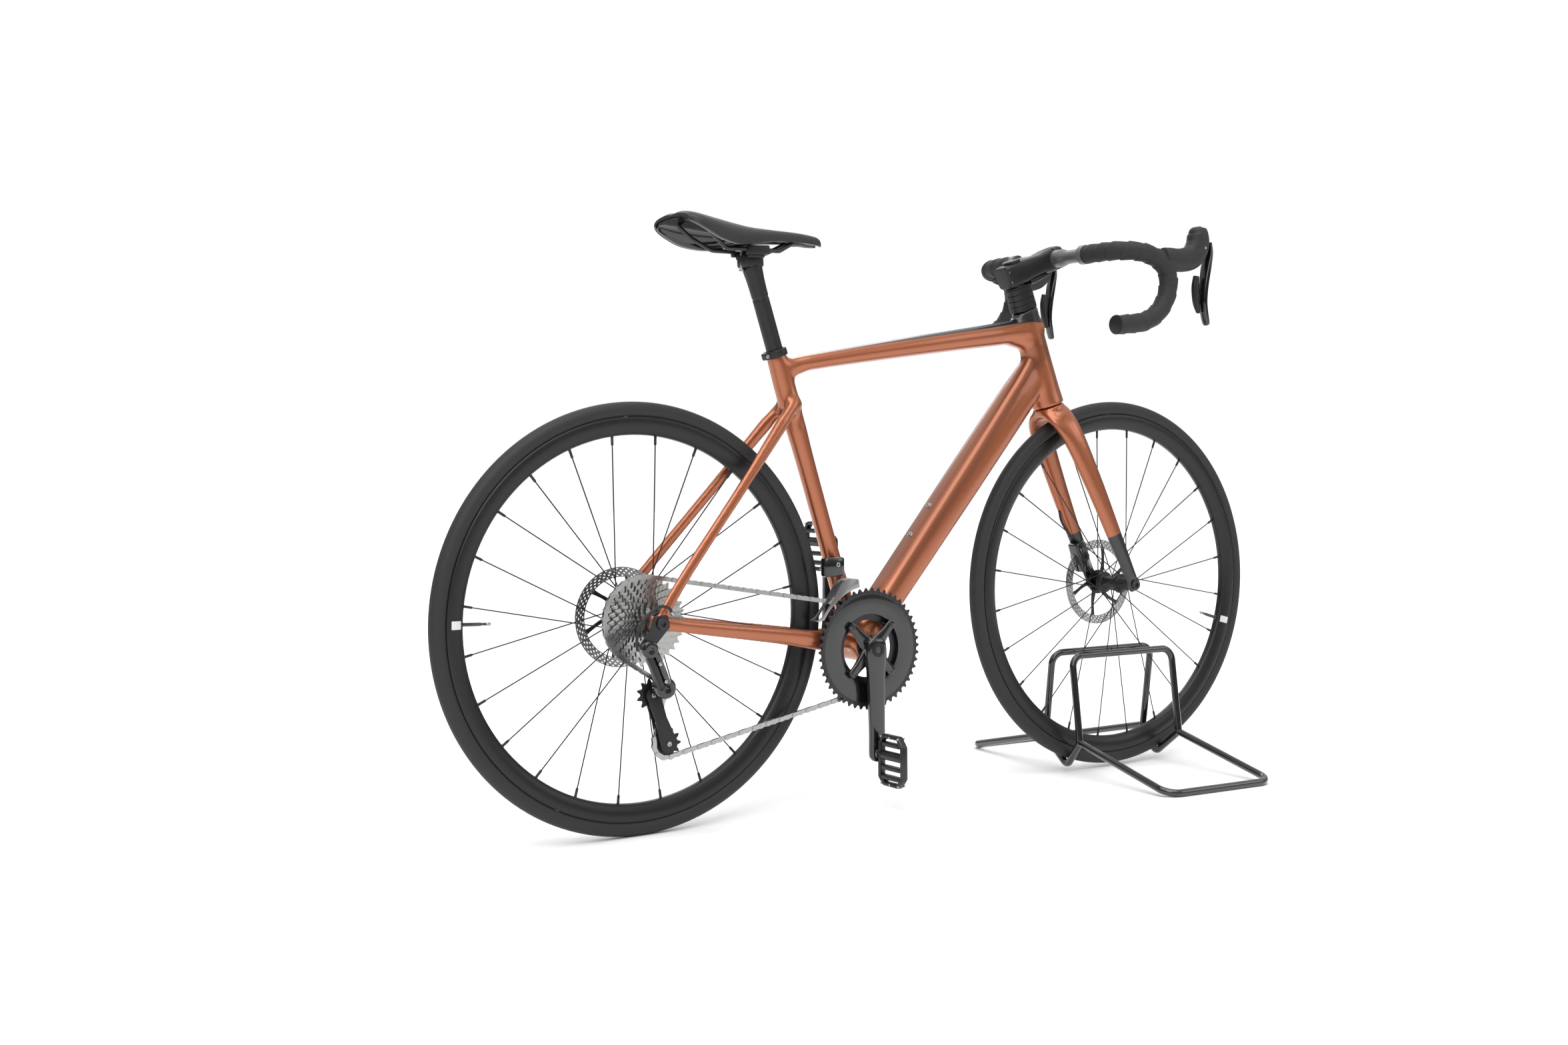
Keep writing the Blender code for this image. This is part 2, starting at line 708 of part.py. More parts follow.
def spoke_set(name, centre, flanges):
    points, faces = [], []
    for i in range(SPOKES):
        y, flange_radius = flanges[i % 2]
        turn = 2 * math.pi * (i + 0.5) / SPOKES
        leading = 1 if (i // 2) % 2 else -1
        at_hub = turn + leading * math.radians(60)
        hub_y = y + leading * 0.0008
        hub = Vector((math.cos(at_hub), 0, math.sin(at_hub))) * (flange_radius - 0.0022)
        rim = Vector((math.cos(turn), 0, math.sin(turn))) * (RIM_INNER - 0.0012)
        start = Vector((hub.x, -hub_y, hub.z))
        end = Vector((rim.x, 0, rim.z))
        along = (end - start).normalized()
        side = along.cross(Y_AXIS).normalized()
        up = along.cross(side)
        rings = [ellipse(p, side, up, 0.0011, 0.0009, 3) for p in (start, end)]
        new_points, new_faces = skin(rings)
        offset = len(points)
        points += [p + centre for p in new_points]
        faces += [tuple(v + offset for v in face) for face in new_faces]
    return solid(name, points, faces, "silver")


def rotor(name, centre, rotor_y, bore):
    radii = [bore, 0.0250, 0.0640, ROTOR_RADIUS]
    place = (Matrix.Translation(Vector((centre.x, rotor_y, centre.z)))
             @ Matrix.Rotation(math.pi / 2, 4, "X"))
    return grid_plate(name, radii, 24, lambda i, j: i != 1 or j % 4 < 1, ROTOR_THICKNESS, "steel", place)


def hub_profile(low, high, flanges, bore, barrel):
    """A hub's section: bore, end caps and two spoke flanges; distance runs to the drive side."""
    profile = [(bore, low), (bore, high), (0.0105, high), (0.0105, high - 0.005), (barrel, high - 0.005)]
    for distance, radius in reversed(flanges):
        profile += [(barrel, distance + 0.0022), (radius, distance + 0.0022),
                    (radius, distance - 0.0022), (barrel, distance - 0.0022)]
    return profile + [(barrel, low + 0.005), (0.0105, low + 0.005), (0.0105, low)]


def wheel(word, centre, flanges, low, high, rotor_y):
    """Tyre, rim, spoked hub and brake rotor of one wheel."""
    barrel = 0.0120
    profile = hub_profile(low, high, flanges, AXLE_RADIUS + 0.0004, barrel)
    hub = turned(word + "_spoked_hub", profile, "satin_black", centre, 12)
    fuse(hub, spoke_set(word + "_spokes_guide", centre, flanges))
    return [
        turned(word + "_tyre", tyre_profile(), "rubber", centre, 40),
        turned(word + "_rim", rim_profile(), "satin_black", centre, 36),
        hub,
        rotor(word + "_brake_rotor", centre, rotor_y, barrel + 2 * GAP),
    ]


def front_wheel():
    return wheel("front", FRONT_AXLE, ((-0.0215, 0.0200), (0.0215, 0.0180)), -0.0500, 0.0500,
                 FRONT_ROTOR_Y)


def rear_wheel():
    return wheel("rear", REAR_AXLE, ((-0.0340, 0.0220), (0.0155, 0.0240)), -0.0710, 0.0230,
                 REAR_ROTOR_Y)


def cassette():
    """Stepped sprockets on a freehub; distance runs to the drive side."""
    profile = [(0.0140, 0.0236)]
    face = -LARGEST_SPROCKET_Y - 0.0012
    for i in range(0, SPROCKETS, 2):
        teeth = LARGEST_SPROCKET_TEETH + (SMALLEST_SPROCKET_TEETH - LARGEST_SPROCKET_TEETH) * i / (SPROCKETS - 2)
        radius = root_radius(teeth)
        near = face + i * SPROCKET_STEP
        profile += [(radius, near), (radius, near + 2 * SPROCKET_STEP)]
    end = face + SPROCKETS * SPROCKET_STEP
    profile += [(0.0180, end), (0.0180, 0.0705), (0.0070, 0.0705), (0.0070, 0.0236)]
    return turned("cassette", profile, "silver", REAR_AXLE, 16)


# ---------------------------------------------------------------- drivetrain
SPINDLE_RADIUS = 0.0120
RIGHT_ARM_Y = -0.0650
LEFT_ARM_Y = 0.0670


def crank_arm(name, side, down, near_y, end_y):
    """A tapering arm from the spindle to the pedal eye, pointing down or up."""
    toward = -1 if down else 1
    rings = []
    for distance, half_width, half_depth in ((-0.019, 0.010, 0.0060), (-0.010, 0.0185, 0.0085),
                                             (0.010, 0.0200, 0.0090), (0.045, 0.0165, 0.0085),
                                             (0.130, 0.0145, 0.0070), (CRANK_LENGTH, 0.0150, 0.0065),
                                             (CRANK_LENGTH + 0.009, 0.0120, 0.0060),
                                             (CRANK_LENGTH + 0.014, 0.0060, 0.0050)):
        share = max(0.0, distance) / CRANK_LENGTH
        centre = BOTTOM_BRACKET + Vector((0, near_y + (end_y - near_y) * share, toward * distance))
        rings.append(ellipse(centre, Vector((1, 0, 0)), Y_AXIS, half_width, half_depth, 12, 3.0))
    arm = solid(name, *skin(rings), "gloss_black")
    eye = BOTTOM_BRACKET + Vector((0, end_y, toward * CRANK_LENGTH))
    axle = turned(name + "_pedal_axle", [(0.0045, -0.001), (0.0045, 0.060)] if side < 0
                  else [(0.0045, -0.060), (0.0045, 0.001)], "steel", eye, 12, hollow=False)
    return fuse(arm, axle)


def spider():
    """Four arms that hold the chainrings, with posts through to the small ring."""
    reach, half_width = 0.0590, 0.0075
    tools = []
    for i in range(4):
        turn = Matrix.Translation(BOTTOM_BRACKET) @ Matrix.Rotation(math.radians(45 + 90 * i), 4, "Y")
        tools.append(box(f"spider_arm_{i}", (0.004, -0.0570, -half_width), (reach, -0.0498, half_width),
                         "gloss_black", turn))
        post_spot = turn @ Vector((0.0535, 0, 0))
        tools.append(turned(f"spider_post_{i}", [(0.0036, 0.0422), (0.0036, 0.0520)], "silver",
                            post_spot, 8, hollow=False))
    return tools


def crank():
    right = crank_arm("crank_arm_right", -1, True, RIGHT_ARM_Y, -0.0675)
    spindle = turned("spindle_guide", [(SPINDLE_RADIUS, -0.0560), (SPINDLE_RADIUS, 0.0600)], "steel",
                     BOTTOM_BRACKET, 24, hollow=False)
    fuse(right, spindle, *spider())
    left = crank_arm("crank_arm_left", 1, False, LEFT_ARM_Y - 0.002, LEFT_ARM_Y)
    cut(left, axle_cutter("left_spindle_guide", BOTTOM_BRACKET, SPINDLE_RADIUS + GAP, 0.0563))
    big = toothed_ring("chainring_outer", BIG_RING_TEETH, 0.0585, 0.0024, "dark_metal",
                       BOTTOM_BRACKET + Y_AXIS * BIG_RING_Y)
    rim = root_radius(SMALL_RING_TEETH)
    small_profile = [(0.0480, -0.0012), (0.0480, 0.0012), (rim, 0.0012), (rim, -0.0012)]
    small = turned("chainring_inner", small_profile, "dark_metal",
                   BOTTOM_BRACKET + Y_AXIS * SMALL_RING_Y, 34)
    return [right, left, big, small]


def pedal(name, side, down):
    """A platform body that turns on its axle, hanging toe down."""
    toward = -1 if down else 1
    end_y = -0.0675 if side < 0 else LEFT_ARM_Y
    eye = BOTTOM_BRACKET + Vector((0, end_y, toward * CRANK_LENGTH))
    low_y = min(eye.y + side * 0.0120, eye.y + side * 0.0750)
    high_y = max(eye.y + side * 0.0120, eye.y + side * 0.0750)
    body_block = box(name, (eye.x - 0.0080, low_y, eye.z - 0.0480), (eye.x + 0.0080, high_y, eye.z + 0.0330),
                     "dark_metal")
    bore = turned(name + "_bore_guide", [(0.0049, -0.0610), (0.0049, 0.0610)], "steel", eye, 16, hollow=False)
    return cut(bevelled(body_block, 0.005), bore)


def tangent_points(centre_a, radius_a, centre_b, radius_b, turn):
    """Where a belt leaves circle a and meets circle b, both in the XZ plane.

    Turn is (sign at a, sign at b): +1 for a belt that passes above, seen along +Y.
    """
    dx, dz = centre_b.x - centre_a.x, centre_b.z - centre_a.z
    distance = math.hypot(dx, dz)
    heading = math.atan2(dz, dx)
    lean = math.asin((turn[1] * radius_b - turn[0] * radius_a) / distance)
    normal = heading + math.pi / 2 + lean
    offset = Vector((math.cos(normal), 0, math.sin(normal)))
    return centre_a + offset * (turn[0] * radius_a), centre_b + offset * (turn[1] * radius_b)


def wrap(centre, start, end, clockwise, steps):
    """Points round a circle from start to end, in the XZ plane."""
    a = math.atan2(start.z - centre.z, start.x - centre.x)
    b = math.atan2(end.z - centre.z, end.x - centre.x)
    radius = (start - centre).length
    sweep_angle = (a - b) % (2 * math.pi) if clockwise else (b - a) % (2 * math.pi)
    sign = -1 if clockwise else 1
    points = []
    for i in range(steps + 1):
        angle = a + sign * sweep_angle * i / steps
        points.append(Vector((centre.x + radius * math.cos(angle), centre.y, centre.z + radius * math.sin(angle))))
    return points


CHAIN_HALF_WIDTH = 0.0030
CHAIN_HALF_HEIGHT = 0.0035


def chain_path():
    """The chain's closed pitch line: sprocket, small chainring, tension pulley, guide pulley."""
    sprocket = Vector((REAR_AXLE.x, LARGEST_SPROCKET_Y, REAR_AXLE.z))
    ring = Vector((BOTTOM_BRACKET.x, SMALL_RING_Y, BOTTOM_BRACKET.z))
    r_sprocket, r_ring = pitch_radius(LARGEST_SPROCKET_TEETH), pitch_radius(SMALL_RING_TEETH)
    r_pulley = pitch_radius(PULLEY_TEETH)
    top_a, top_b = tangent_points(sprocket, r_sprocket, ring, r_ring, (1, 1))
    low_a, low_b = tangent_points(ring, r_ring, TENSION_PULLEY, r_pulley, (1, 1))
    mid_a, mid_b = tangent_points(TENSION_PULLEY, r_pulley, GUIDE_PULLEY, r_pulley, (1, -1))
    end_a, end_b = tangent_points(GUIDE_PULLEY, r_pulley, sprocket, r_sprocket, (-1, 1))
    runs = [
        wrap(ring, top_b, low_a, True, 12),
        wrap(TENSION_PULLEY, low_b, mid_a, True, 8),
        wrap(GUIDE_PULLEY, mid_b, end_a, False, 8),
        wrap(sprocket, end_b, top_a, True, 14),
    ]
    return [p for run in runs for p in run]


def chain():
    """The chain's closed loop as a plain band, which clears the teeth inside it."""
    path = chain_path()
    along = tangents(path, closed=True)
    rings = []
    for point, direction in zip(path, along):
        across = (Y_AXIS - direction * direction.y).normalized()
        up = direction.cross(across)
        corners = ((-1, -1), (1, -1), (1, 1), (-1, 1))
        rings.append([point + across * u * CHAIN_HALF_WIDTH + up * v * CHAIN_HALF_HEIGHT for u, v in corners])
    return solid("chain", *skin(rings, close_path=True), "silver")


# ---------------------------------------------------------------- derailleurs
def link_plate(name, ends, radii, thickness, y, finish_name):
    """A flat plate in the XZ plane: two round ends joined by straight flanks."""
    (a, b), (ra, rb) = ends, radii
    heading = math.atan2(b.z - a.z, b.x - a.x)
    outline = []
    for centre, radius, first in ((b, rb, heading - math.pi / 2), (a, ra, heading + math.pi / 2)):
        for i in range(7):
            angle = first + math.pi * i / 6
            outline.append((centre.x + radius * math.cos(angle), centre.z + radius * math.sin(angle)))
    place = Matrix.Translation(Vector((0, y, 0))) @ Matrix.Rotation(math.pi / 2, 4, "X")
    return slab(name, outline, thickness, finish_name, place)


FRONT_CAGE_PIVOT = Vector((-0.1500, -0.0310, 0.3880))
CAGE_NEAR_Y = -0.0500
CAGE_FAR_Y = -0.0293
CAGE_OUTER_Y = LARGEST_SPROCKET_Y - 0.0078
CAGE_INNER_Y = LARGEST_SPROCKET_Y + 0.0078
PULLEY_BOLT_RADIUS = 0.0026


def derailleur_cage():
    """Two plates joined by the pulleys' bolts."""
    ends = (GUIDE_PULLEY, TENSION_PULLEY)
    outer = link_plate("derailleur_cage", ends, (0.0120, 0.0150), 0.0022, CAGE_OUTER_Y, "satin_black")
    inner = link_plate("cage_inner_guide", ends, (0.0100, 0.0150), 0.0020, CAGE_INNER_Y, "satin_black")
    tools = [inner]
    for i, pulley_centre in enumerate(ends):
        reach = [(PULLEY_BOLT_RADIUS, -0.0084), (PULLEY_BOLT_RADIUS, 0.0084)]
        tools.append(turned(f"pulley_bolt_guide_{i}", reach, "steel", pulley_centre, 12, hollow=False))
    return fuse(outer, *tools)


def pulley(name, centre):
    rim = root_radius(PULLEY_TEETH)
    bore = PULLEY_BOLT_RADIUS + GAP
    profile = [(bore, -0.0040), (bore, 0.0040), (0.0080, 0.0040), (0.0080, 0.0013), (rim, 0.0013),
               (rim, -0.0013), (0.0080, -0.0013), (0.0080, -0.0040)]
    return turned(name, profile, "satin_black", centre, 14)


P_KNUCKLE = Vector((-0.4830, 0, 0.2360))
B_KNUCKLE = Vector((-0.5300, 0, 0.3020))


def rear_derailleur():
    """The fixed half of the derailleur: hanger knuckle, link and cage knuckle."""
    upper = turned("rear_derailleur", [(0.0135, 0.0850), (0.0135, 0.0990), (0.0110, 0.1010)],
                   "gloss_black", B_KNUCKLE, 20, hollow=False)
    lower = turned("cage_knuckle_guide", [(0.0150, 0.0350), (0.0165, 0.0400), (0.0165, 0.0600), (0.0130, 0.0640)],
                   "gloss_black", P_KNUCKLE, 20, hollow=False)
    stations = ((Vector((B_KNUCKLE.x, -0.0940, B_KNUCKLE.z)), 0.0060, 0.0100),
                (Vector((-0.5200, -0.0915, 0.2830)), 0.0070, 0.0110),
                (Vector((-0.4990, -0.0730, 0.2520)), 0.0080, 0.0115),
                (Vector((P_KNUCKLE.x, -0.0520, P_KNUCKLE.z)), 0.0060, 0.0100))
    link = solid("derailleur_link_guide", *skin(tube_rings(stations, 12, 3.0)), "gloss_black")
    return fuse(upper, link, lower)


def around_crank(radius, degrees):
    """A point of the XZ plane at a distance and angle from the bottom bracket's centre."""
    angle = math.radians(degrees)
    return BOTTOM_BRACKET.x + radius * math.cos(angle), BOTTOM_BRACKET.z + radius * math.sin(angle)


CAGE_CLEAR_RADIUS = 0.1058
CAGE_OUTLINE_TOP = ((0.1195, 154), (0.1125, 148), (0.1115, 137), (0.1155, 127), (0.1270, 113), (0.1200, 101))


def front_derailleur():
    """The body beside the seat tube."""
    block = box("front_derailleur", (-0.1760, -0.0440, 0.3900), (-0.1310, -0.0175, 0.4240), "gloss_black")
    return cut(bevelled(block, 0.004), seat_tube("front_derailleur_seat_guide", GAP))


def front_derailleur_cage():
    """Two curved plates over the big ring, joined at the top and behind the chain."""
    outline = [around_crank(CAGE_CLEAR_RADIUS, a) for a in (101, 109, 117, 125, 133, 141, 150)]
    outline += [around_crank(r, a) for r, a in CAGE_OUTLINE_TOP]
    plates = []
    for name, y in (("front_derailleur_cage", CAGE_NEAR_Y), ("cage_far_plate_guide", CAGE_FAR_Y)):
        place = Matrix.Translation(Vector((0, y, 0))) @ Matrix.Rotation(math.pi / 2, 4, "X")
        plates.append(slab(name, outline, 0.0014, "silver", place))
    bridges = []
    for i, (r, a) in enumerate(((0.1135, 152.5), (0.1215, 110))):
        x, z = around_crank(r, a)
        bridges.append(box(f"cage_bridge_guide_{i}", (x - 0.0035, CAGE_NEAR_Y, z - 0.0012),
                           (x + 0.0035, CAGE_FAR_Y, z + 0.0012), "silver"))
    return fuse(*plates, *bridges)


def gear_housing():
    """The cable housing's loop from the chainstay's end into the rear derailleur."""
    route = [(-0.4870, -0.0900, 0.3520), (-0.4980, -0.0960, 0.3640), (-0.5180, -0.1010, 0.3660),
             (-0.5390, -0.1020, 0.3530), (-0.5510, -0.1000, 0.3330), (-0.5530, -0.0970, 0.3130),
             (-0.5480, -0.0930, 0.2950)]
    return sweep("gear_housing", smooth_path(route, 2), 0.0024, "rubber", 6)


# ---------------------------------------------------------------- fork and cockpit
FORK_STATIONS = (
    (-0.012, 0.0453, 0.0560, 0.0105, 0.0045),
    (0.004, 0.0453, 0.0560, 0.0125, 0.0052),
    (0.030, 0.0415, 0.0560, 0.0130, 0.0060),
    (0.108, 0.0300, 0.0545, 0.0160, 0.0078),
    (0.200, 0.0180, 0.0510, 0.0190, 0.0090),
    (0.290, 0.0060, 0.0440, 0.0225, 0.0100),
    (0.325, 0.0010, 0.0360, 0.0255, 0.0105),
    (0.345, -0.0010, 0.0240, 0.0280, 0.0105),
    (0.3530, 0.0000, 0.0110, 0.0285, 0.0105),
)
STEERER_RADIUS = 0.0143
STEERER_TOP = 0.6260


def fork_blades(name, grow=0.0):
    """Both blades and the crown as one arch over the wheel."""
    stations = [(steer(s, f, -y), a, t) for s, f, y, a, t in FORK_STATIONS]
    stations.append((steer(0.3540), 0.0285, 0.0105))
    stations += [(steer(s, f, y), a, t) for s, f, y, a, t in reversed(FORK_STATIONS)]
    directions = tangents([s[0] for s in stations])
    rings = []
    for (centre, ahead, thick), direction in zip(stations, directions):
        front = (STEER_AHEAD - direction * direction.dot(STEER_AHEAD)).normalized()
        out = direction.cross(front)
        rings.append(ellipse(centre, front, out, ahead + grow, thick + grow, 12, 2.2))
    return solid(name, *skin(rings), "copper_paint")


def fork():
    blades = fork_blades("fork")
    steerer = solid("steerer_guide", *skin(tube_rings([(steer(s), STEERER_RADIUS, STEERER_RADIUS)
                                                       for s in (0.3480, STEERER_TOP)], 16)), "satin_black")
    fuse(blades, steerer)
    return cut(blades, axle_cutter("front_axle_guide", FRONT_AXLE, AXLE_RADIUS + GAP, 0.1))


def front_thru_axle():
    profile = [(AXLE_RADIUS, -0.0610), (AXLE_RADIUS, 0.0618), (0.0095, 0.0618), (0.0095, 0.0650)]
    return turned("front_thru_axle", profile, "dark_metal", FRONT_AXLE, 24, hollow=False)


def front_caliper():
    block = caliper("front_brake_caliper", FRONT_AXLE, Vector((-0.0450, 0, 0.0500)), STEER_UP, FRONT_ROTOR_Y)
    return cut(block, fork_blades("caliper_fork_guide", GAP))


def front_brake_hose():
    top = FRONT_AXLE + Vector((-0.0590, FRONT_ROTOR_Y + 0.0050, 0.0815))
    route = [top, top + Vector((-0.0130, 0.0, 0.0158)), top + Vector((-0.0250, 0.0025, 0.0358)),
             top + Vector((-0.0265, 0.0055, 0.0518)), top + Vector((-0.0230, 0.0075, 0.0598))]
    hose = sweep("front_brake_hose", smooth_path(route, 2), 0.0023, "rubber", 6)
    return cut(hose, fork_blades("hose_fork_guide", GAP))


def oval_rings(levels, grow=0.0):
    """Rings round the steering axis: (distance up, half width, half length)."""
    rings = []
    for along, half_width, half_length in levels:
        rings.append(ellipse(steer(along), Y_AXIS, STEER_AHEAD, half_width + grow, half_length + grow, 16, 2.3))
    return rings


def headset_spacers():
    levels = ((HEAD_TOP + GAP, 0.0198, 0.0262), (SPACERS_TOP - GAP, 0.0190, 0.0245))
    reach = STEERER_RADIUS + GAP
    outer = oval_rings(levels)
    inner = [ellipse(steer(s), Y_AXIS, STEER_AHEAD, reach, reach, 16) for s, _, _ in levels]
    return solid("headset_spacers", *double_wall(outer, inner), "satin_black")


BAR_CLAMP_RADIUS = 0.0159


def bar_guide(name, grow):
    profile = [(BAR_CLAMP_RADIUS + grow, -0.0400), (BAR_CLAMP_RADIUS + grow, 0.0400)]
    return turned(name, profile, "steel", HANDLEBAR_CENTRE, 24, hollow=False)


def stem():
    """The stem, split at the bar into a body and a front clamp plate."""
    rear = steer((SPACERS_TOP + STEM_TOP) / 2)
    ahead = (HANDLEBAR_CENTRE - rear).normalized()
    above = Vector((-ahead.z, 0, ahead.x))
    spots = ((rear - ahead * 0.0290, 0.0150, 0.0180), (rear - ahead * 0.0250, 0.0190, 0.0205),
             (rear + ahead * 0.0200, 0.0190, 0.0205), (HANDLEBAR_CENTRE - ahead * 0.0230, 0.0185, 0.0180),
             (HANDLEBAR_CENTRE - ahead * 0.0010, 0.0200, 0.0205))
    rings = [ellipse(centre, Y_AXIS, above, width, height, 12, 4.0) for centre, width, height in spots]
    stem_body = solid("stem", *skin(rings), "satin_black")
    steerer_rings = [ellipse(steer(s), Y_AXIS, STEER_AHEAD, STEERER_RADIUS + GAP, STEERER_RADIUS + GAP, 16)
                     for s in (0.560, 0.670)]
    steerer_guide = solid("stem_steerer_guide", *skin(steerer_rings), "steel")
    level = [ellipse(steer(s), Y_AXIS, STEER_AHEAD, 0.06, 0.06, 4, 2.0)
             for s in (SPACERS_TOP - 0.03, SPACERS_TOP)]
    fuse(stem_body, cable_cover(rear, ahead, above))
    cut(stem_body, steerer_guide, solid("stem_floor_guide", *skin(level), "steel"),
        bar_guide("stem_bar_guide", GAP))
    fuse(stem_body, top_cap())
    plate_rings = [ellipse(HANDLEBAR_CENTRE + ahead * d, Y_AXIS, above, 0.0200, h, 12, 4.0)
                   for d, h in ((0.0010, 0.0205), (0.0170, 0.0205), (0.0205, 0.0160))]
    plate = solid("stem_faceplate", *skin(plate_rings), "satin_black")
    cut(plate, bar_guide("plate_bar_guide", GAP))
    return [stem_body, plate]


def cable_cover(rear, ahead, above):
    """The cover under the stem that leads the cables back into the headset."""
    spots = ((0.0200, -0.0215, 0.0050), (0.0400, -0.0220, 0.0055), (0.0640, -0.0205, 0.0030))
    rings = [ellipse(rear + ahead * d + above * up, Y_AXIS, above, 0.0165, half, 12, 3.0)
             for d, up, half in spots]
    return solid("cable_cover_guide", *skin(rings), "satin_black")


def top_cap():
    levels = ((STEERER_TOP + GAP, 0.0175), (STEM_TOP + 0.0010, 0.0175), (STEM_TOP + 0.0035, 0.0150))
    rings = [ellipse(steer(s), Y_AXIS, STEER_AHEAD, r, r, 16) for s, r in levels]
    return solid("top_cap_guide", *skin(rings), "satin_black")


BAR_HALF = (
    (0.000, 0.0000, 0.000), (0.000, 0.0300, 0.000), (0.000, 0.0420, 0.000), (0.000, 0.0900, 0.000),
    (0.001, 0.1450, 0.000), (0.008, 0.1780, -0.001), (0.026, 0.1970, -0.003), (0.050, 0.2030, -0.008),
    (0.073, 0.2050, -0.018), (0.0880, 0.2070, -0.036), (0.0890, 0.2090, -0.060), (0.0790, 0.2110, -0.086),
    (0.0570, 0.2130, -0.110), (0.0250, 0.2150, -0.125), (-0.0100, 0.2170, -0.130), (-0.0430, 0.2180, -0.133),
)
TAPE_START = 0.0850


def bar_path(side):
    """The bar's centre line from the stem out to one side's end."""
    return [HANDLEBAR_CENTRE + Vector((x, side * y, z)) for x, y, z in BAR_HALF[2:]]


def handlebar():
    left = bar_path(1)
    right = bar_path(-1)
    middle = [HANDLEBAR_CENTRE + Y_AXIS * y for y in (-0.030, 0.030)]
    path = right[::-1] + middle + left
    frames = carried_frames(path)
    rings = []
    for point, (side, up) in zip(path, frames):
        radius = BAR_CLAMP_RADIUS if abs(point.y) < 0.031 else HANDLEBAR_RADIUS
        rings.append(ellipse(point, side, up, radius, radius, 8))
    return solid("handlebar", *skin(rings), "satin_black")


def tape_points(side):
    return [p for p in bar_path(side) if abs(p.y) > TAPE_START]


def bar_tape(word, side):
    path = tape_points(side)
    inner_radius = HANDLEBAR_RADIUS / math.cos(math.pi / 8) + GAP
    outer = sweep_rings(path, TAPE_RADIUS, 10)
    inner = sweep_rings(path, inner_radius, 10)
    return solid("bar_tape_" + word, *double_wall(outer, inner), "tape")


HOOD_STATIONS = (
    (0.4400, 0.9270, 0.0160, 0.0190), (0.4700, 0.9255, 0.0165, 0.0205), (0.4980, 0.9330, 0.0170, 0.0215),
    (0.5120, 0.9520, 0.0175, 0.0215), (0.5135, 0.9720, 0.0165, 0.0190), (0.5105, 0.9860, 0.0100, 0.0105),
)
LEVER_Y = 0.2060


def lever_hood(word, side):
    stations = [(Vector((x, side * LEVER_Y, z)), width, height) for x, z, width, height in HOOD_STATIONS]
    hood = solid("lever_hood_" + word, *skin(tube_rings(stations, 12, 2.2)), "rubber")
    guide_rings = sweep_rings(tape_points(side), TAPE_RADIUS + GAP, 10)
    return cut(hood, solid(f"hood_{word}_tape_guide", *skin(guide_rings), "tape"))


LEVER_PIN = Vector((0.5120, 0, 0.9385))
LEVER_STATIONS = (
    (0.5400, 0.9600, 0.0080, 0.0028), (0.5395, 0.9400, 0.0105, 0.0040), (0.5340, 0.9150, 0.0110, 0.0055),
    (0.5290, 0.8850, 0.0095, 0.0055), (0.5270, 0.8550, 0.0085, 0.0050), (0.5310, 0.8300, 0.0080, 0.0045),
    (0.5345, 0.8170, 0.0070, 0.0038),
)
PADDLE_STATIONS = (
    (0.5140, 0.9000, 0.0040, 0.0060), (0.5115, 0.8800, 0.0055, 0.0070), (0.5135, 0.8550, 0.0060, 0.0055),
    (0.5185, 0.8380, 0.0045, 0.0030),
)
PADDLE_PIVOT = Vector((0.5140, 0, 0.9030))


def blade(name, stations, side, inward, finish_name):
    points = [(Vector((x, side * (LEVER_Y - inward), z)), width, depth) for x, z, width, depth in stations]
    return solid(name, *skin(tube_rings(points, 10, 2.4)), finish_name)


# ---------------------------------------------------------------- stand
STAND_LOOP_HALF = 0.1170
STAND_TOP = 0.2170
STAND_TOP_SIDE = 0.0292
STAND_JOINT_SIDE = 0.0520
STAND_JOINT_HEIGHT = 0.0600
STAND_FLOOR_SIDE = 0.2960
STAND_VEE_HEIGHT = 0.0121
STAND_VEE_SHIFT = 0.0040


def stand_place(x, y, z):
    turned_spot = Matrix.Rotation(STAND_TURN, 4, "Z") @ Vector((x, y, z))
    return turned_spot + Vector((FRONT_AXLE.x, 0, 0))


def stand():
    """Two upright loops beside the wheel, two vees under the tyre and two floor loops."""
    floor = STAND_TUBE_RADIUS * math.cos(math.pi / 8) - 0.0003
    reach = STAND_LOOP_HALF
    tubes = []
    for side in (-1, 1):
        joint = side * STAND_JOINT_SIDE
        upright = [(-reach, joint, STAND_JOINT_HEIGHT), (-reach, side * STAND_TOP_SIDE, STAND_TOP),
                   (reach, side * STAND_TOP_SIDE, STAND_TOP), (reach, joint, STAND_JOINT_HEIGHT)]
        foot = [(-reach, joint, STAND_JOINT_HEIGHT), (-reach, side * STAND_FLOOR_SIDE, floor),
                (reach, side * STAND_FLOOR_SIDE, floor), (reach, joint, STAND_JOINT_HEIGHT)]
        for corners, radius in ((upright, 0.022), (foot, 0.028)):
            tubes.append(rounded([stand_place(*c) for c in corners], radius, 3))
    for end in (-1, 1):
        x = end * reach
        low = stand_place(x, 0, STAND_VEE_HEIGHT)
        low.y = end * STAND_VEE_SHIFT
        vee = [stand_place(x, -STAND_JOINT_SIDE, STAND_JOINT_HEIGHT), low,
               stand_place(x, STAND_JOINT_SIDE, STAND_JOINT_HEIGHT)]
        tubes.append(rounded(vee, 0.012, 3))
    names = ["stand"] + [f"stand_tube_guide_{i}" for i in range(1, len(tubes))]
    pieces = [sweep(name, path, STAND_TUBE_RADIUS, "stand_black", 8) for name, path in zip(names, tubes)]
    fuse(pieces[0], *pieces[1:])
    floor_guide = box("floor_guide", (FRONT_AXLE.x - 0.4, -0.5, -0.1), (FRONT_AXLE.x + 0.4, 0.5, 0.0), "steel")
    return cut(pieces[0], floor_guide)


# ---------------------------------------------------------------- assembly
def attach_all(pieces, body_name):
    for piece in pieces:
        attach(piece, body_name)


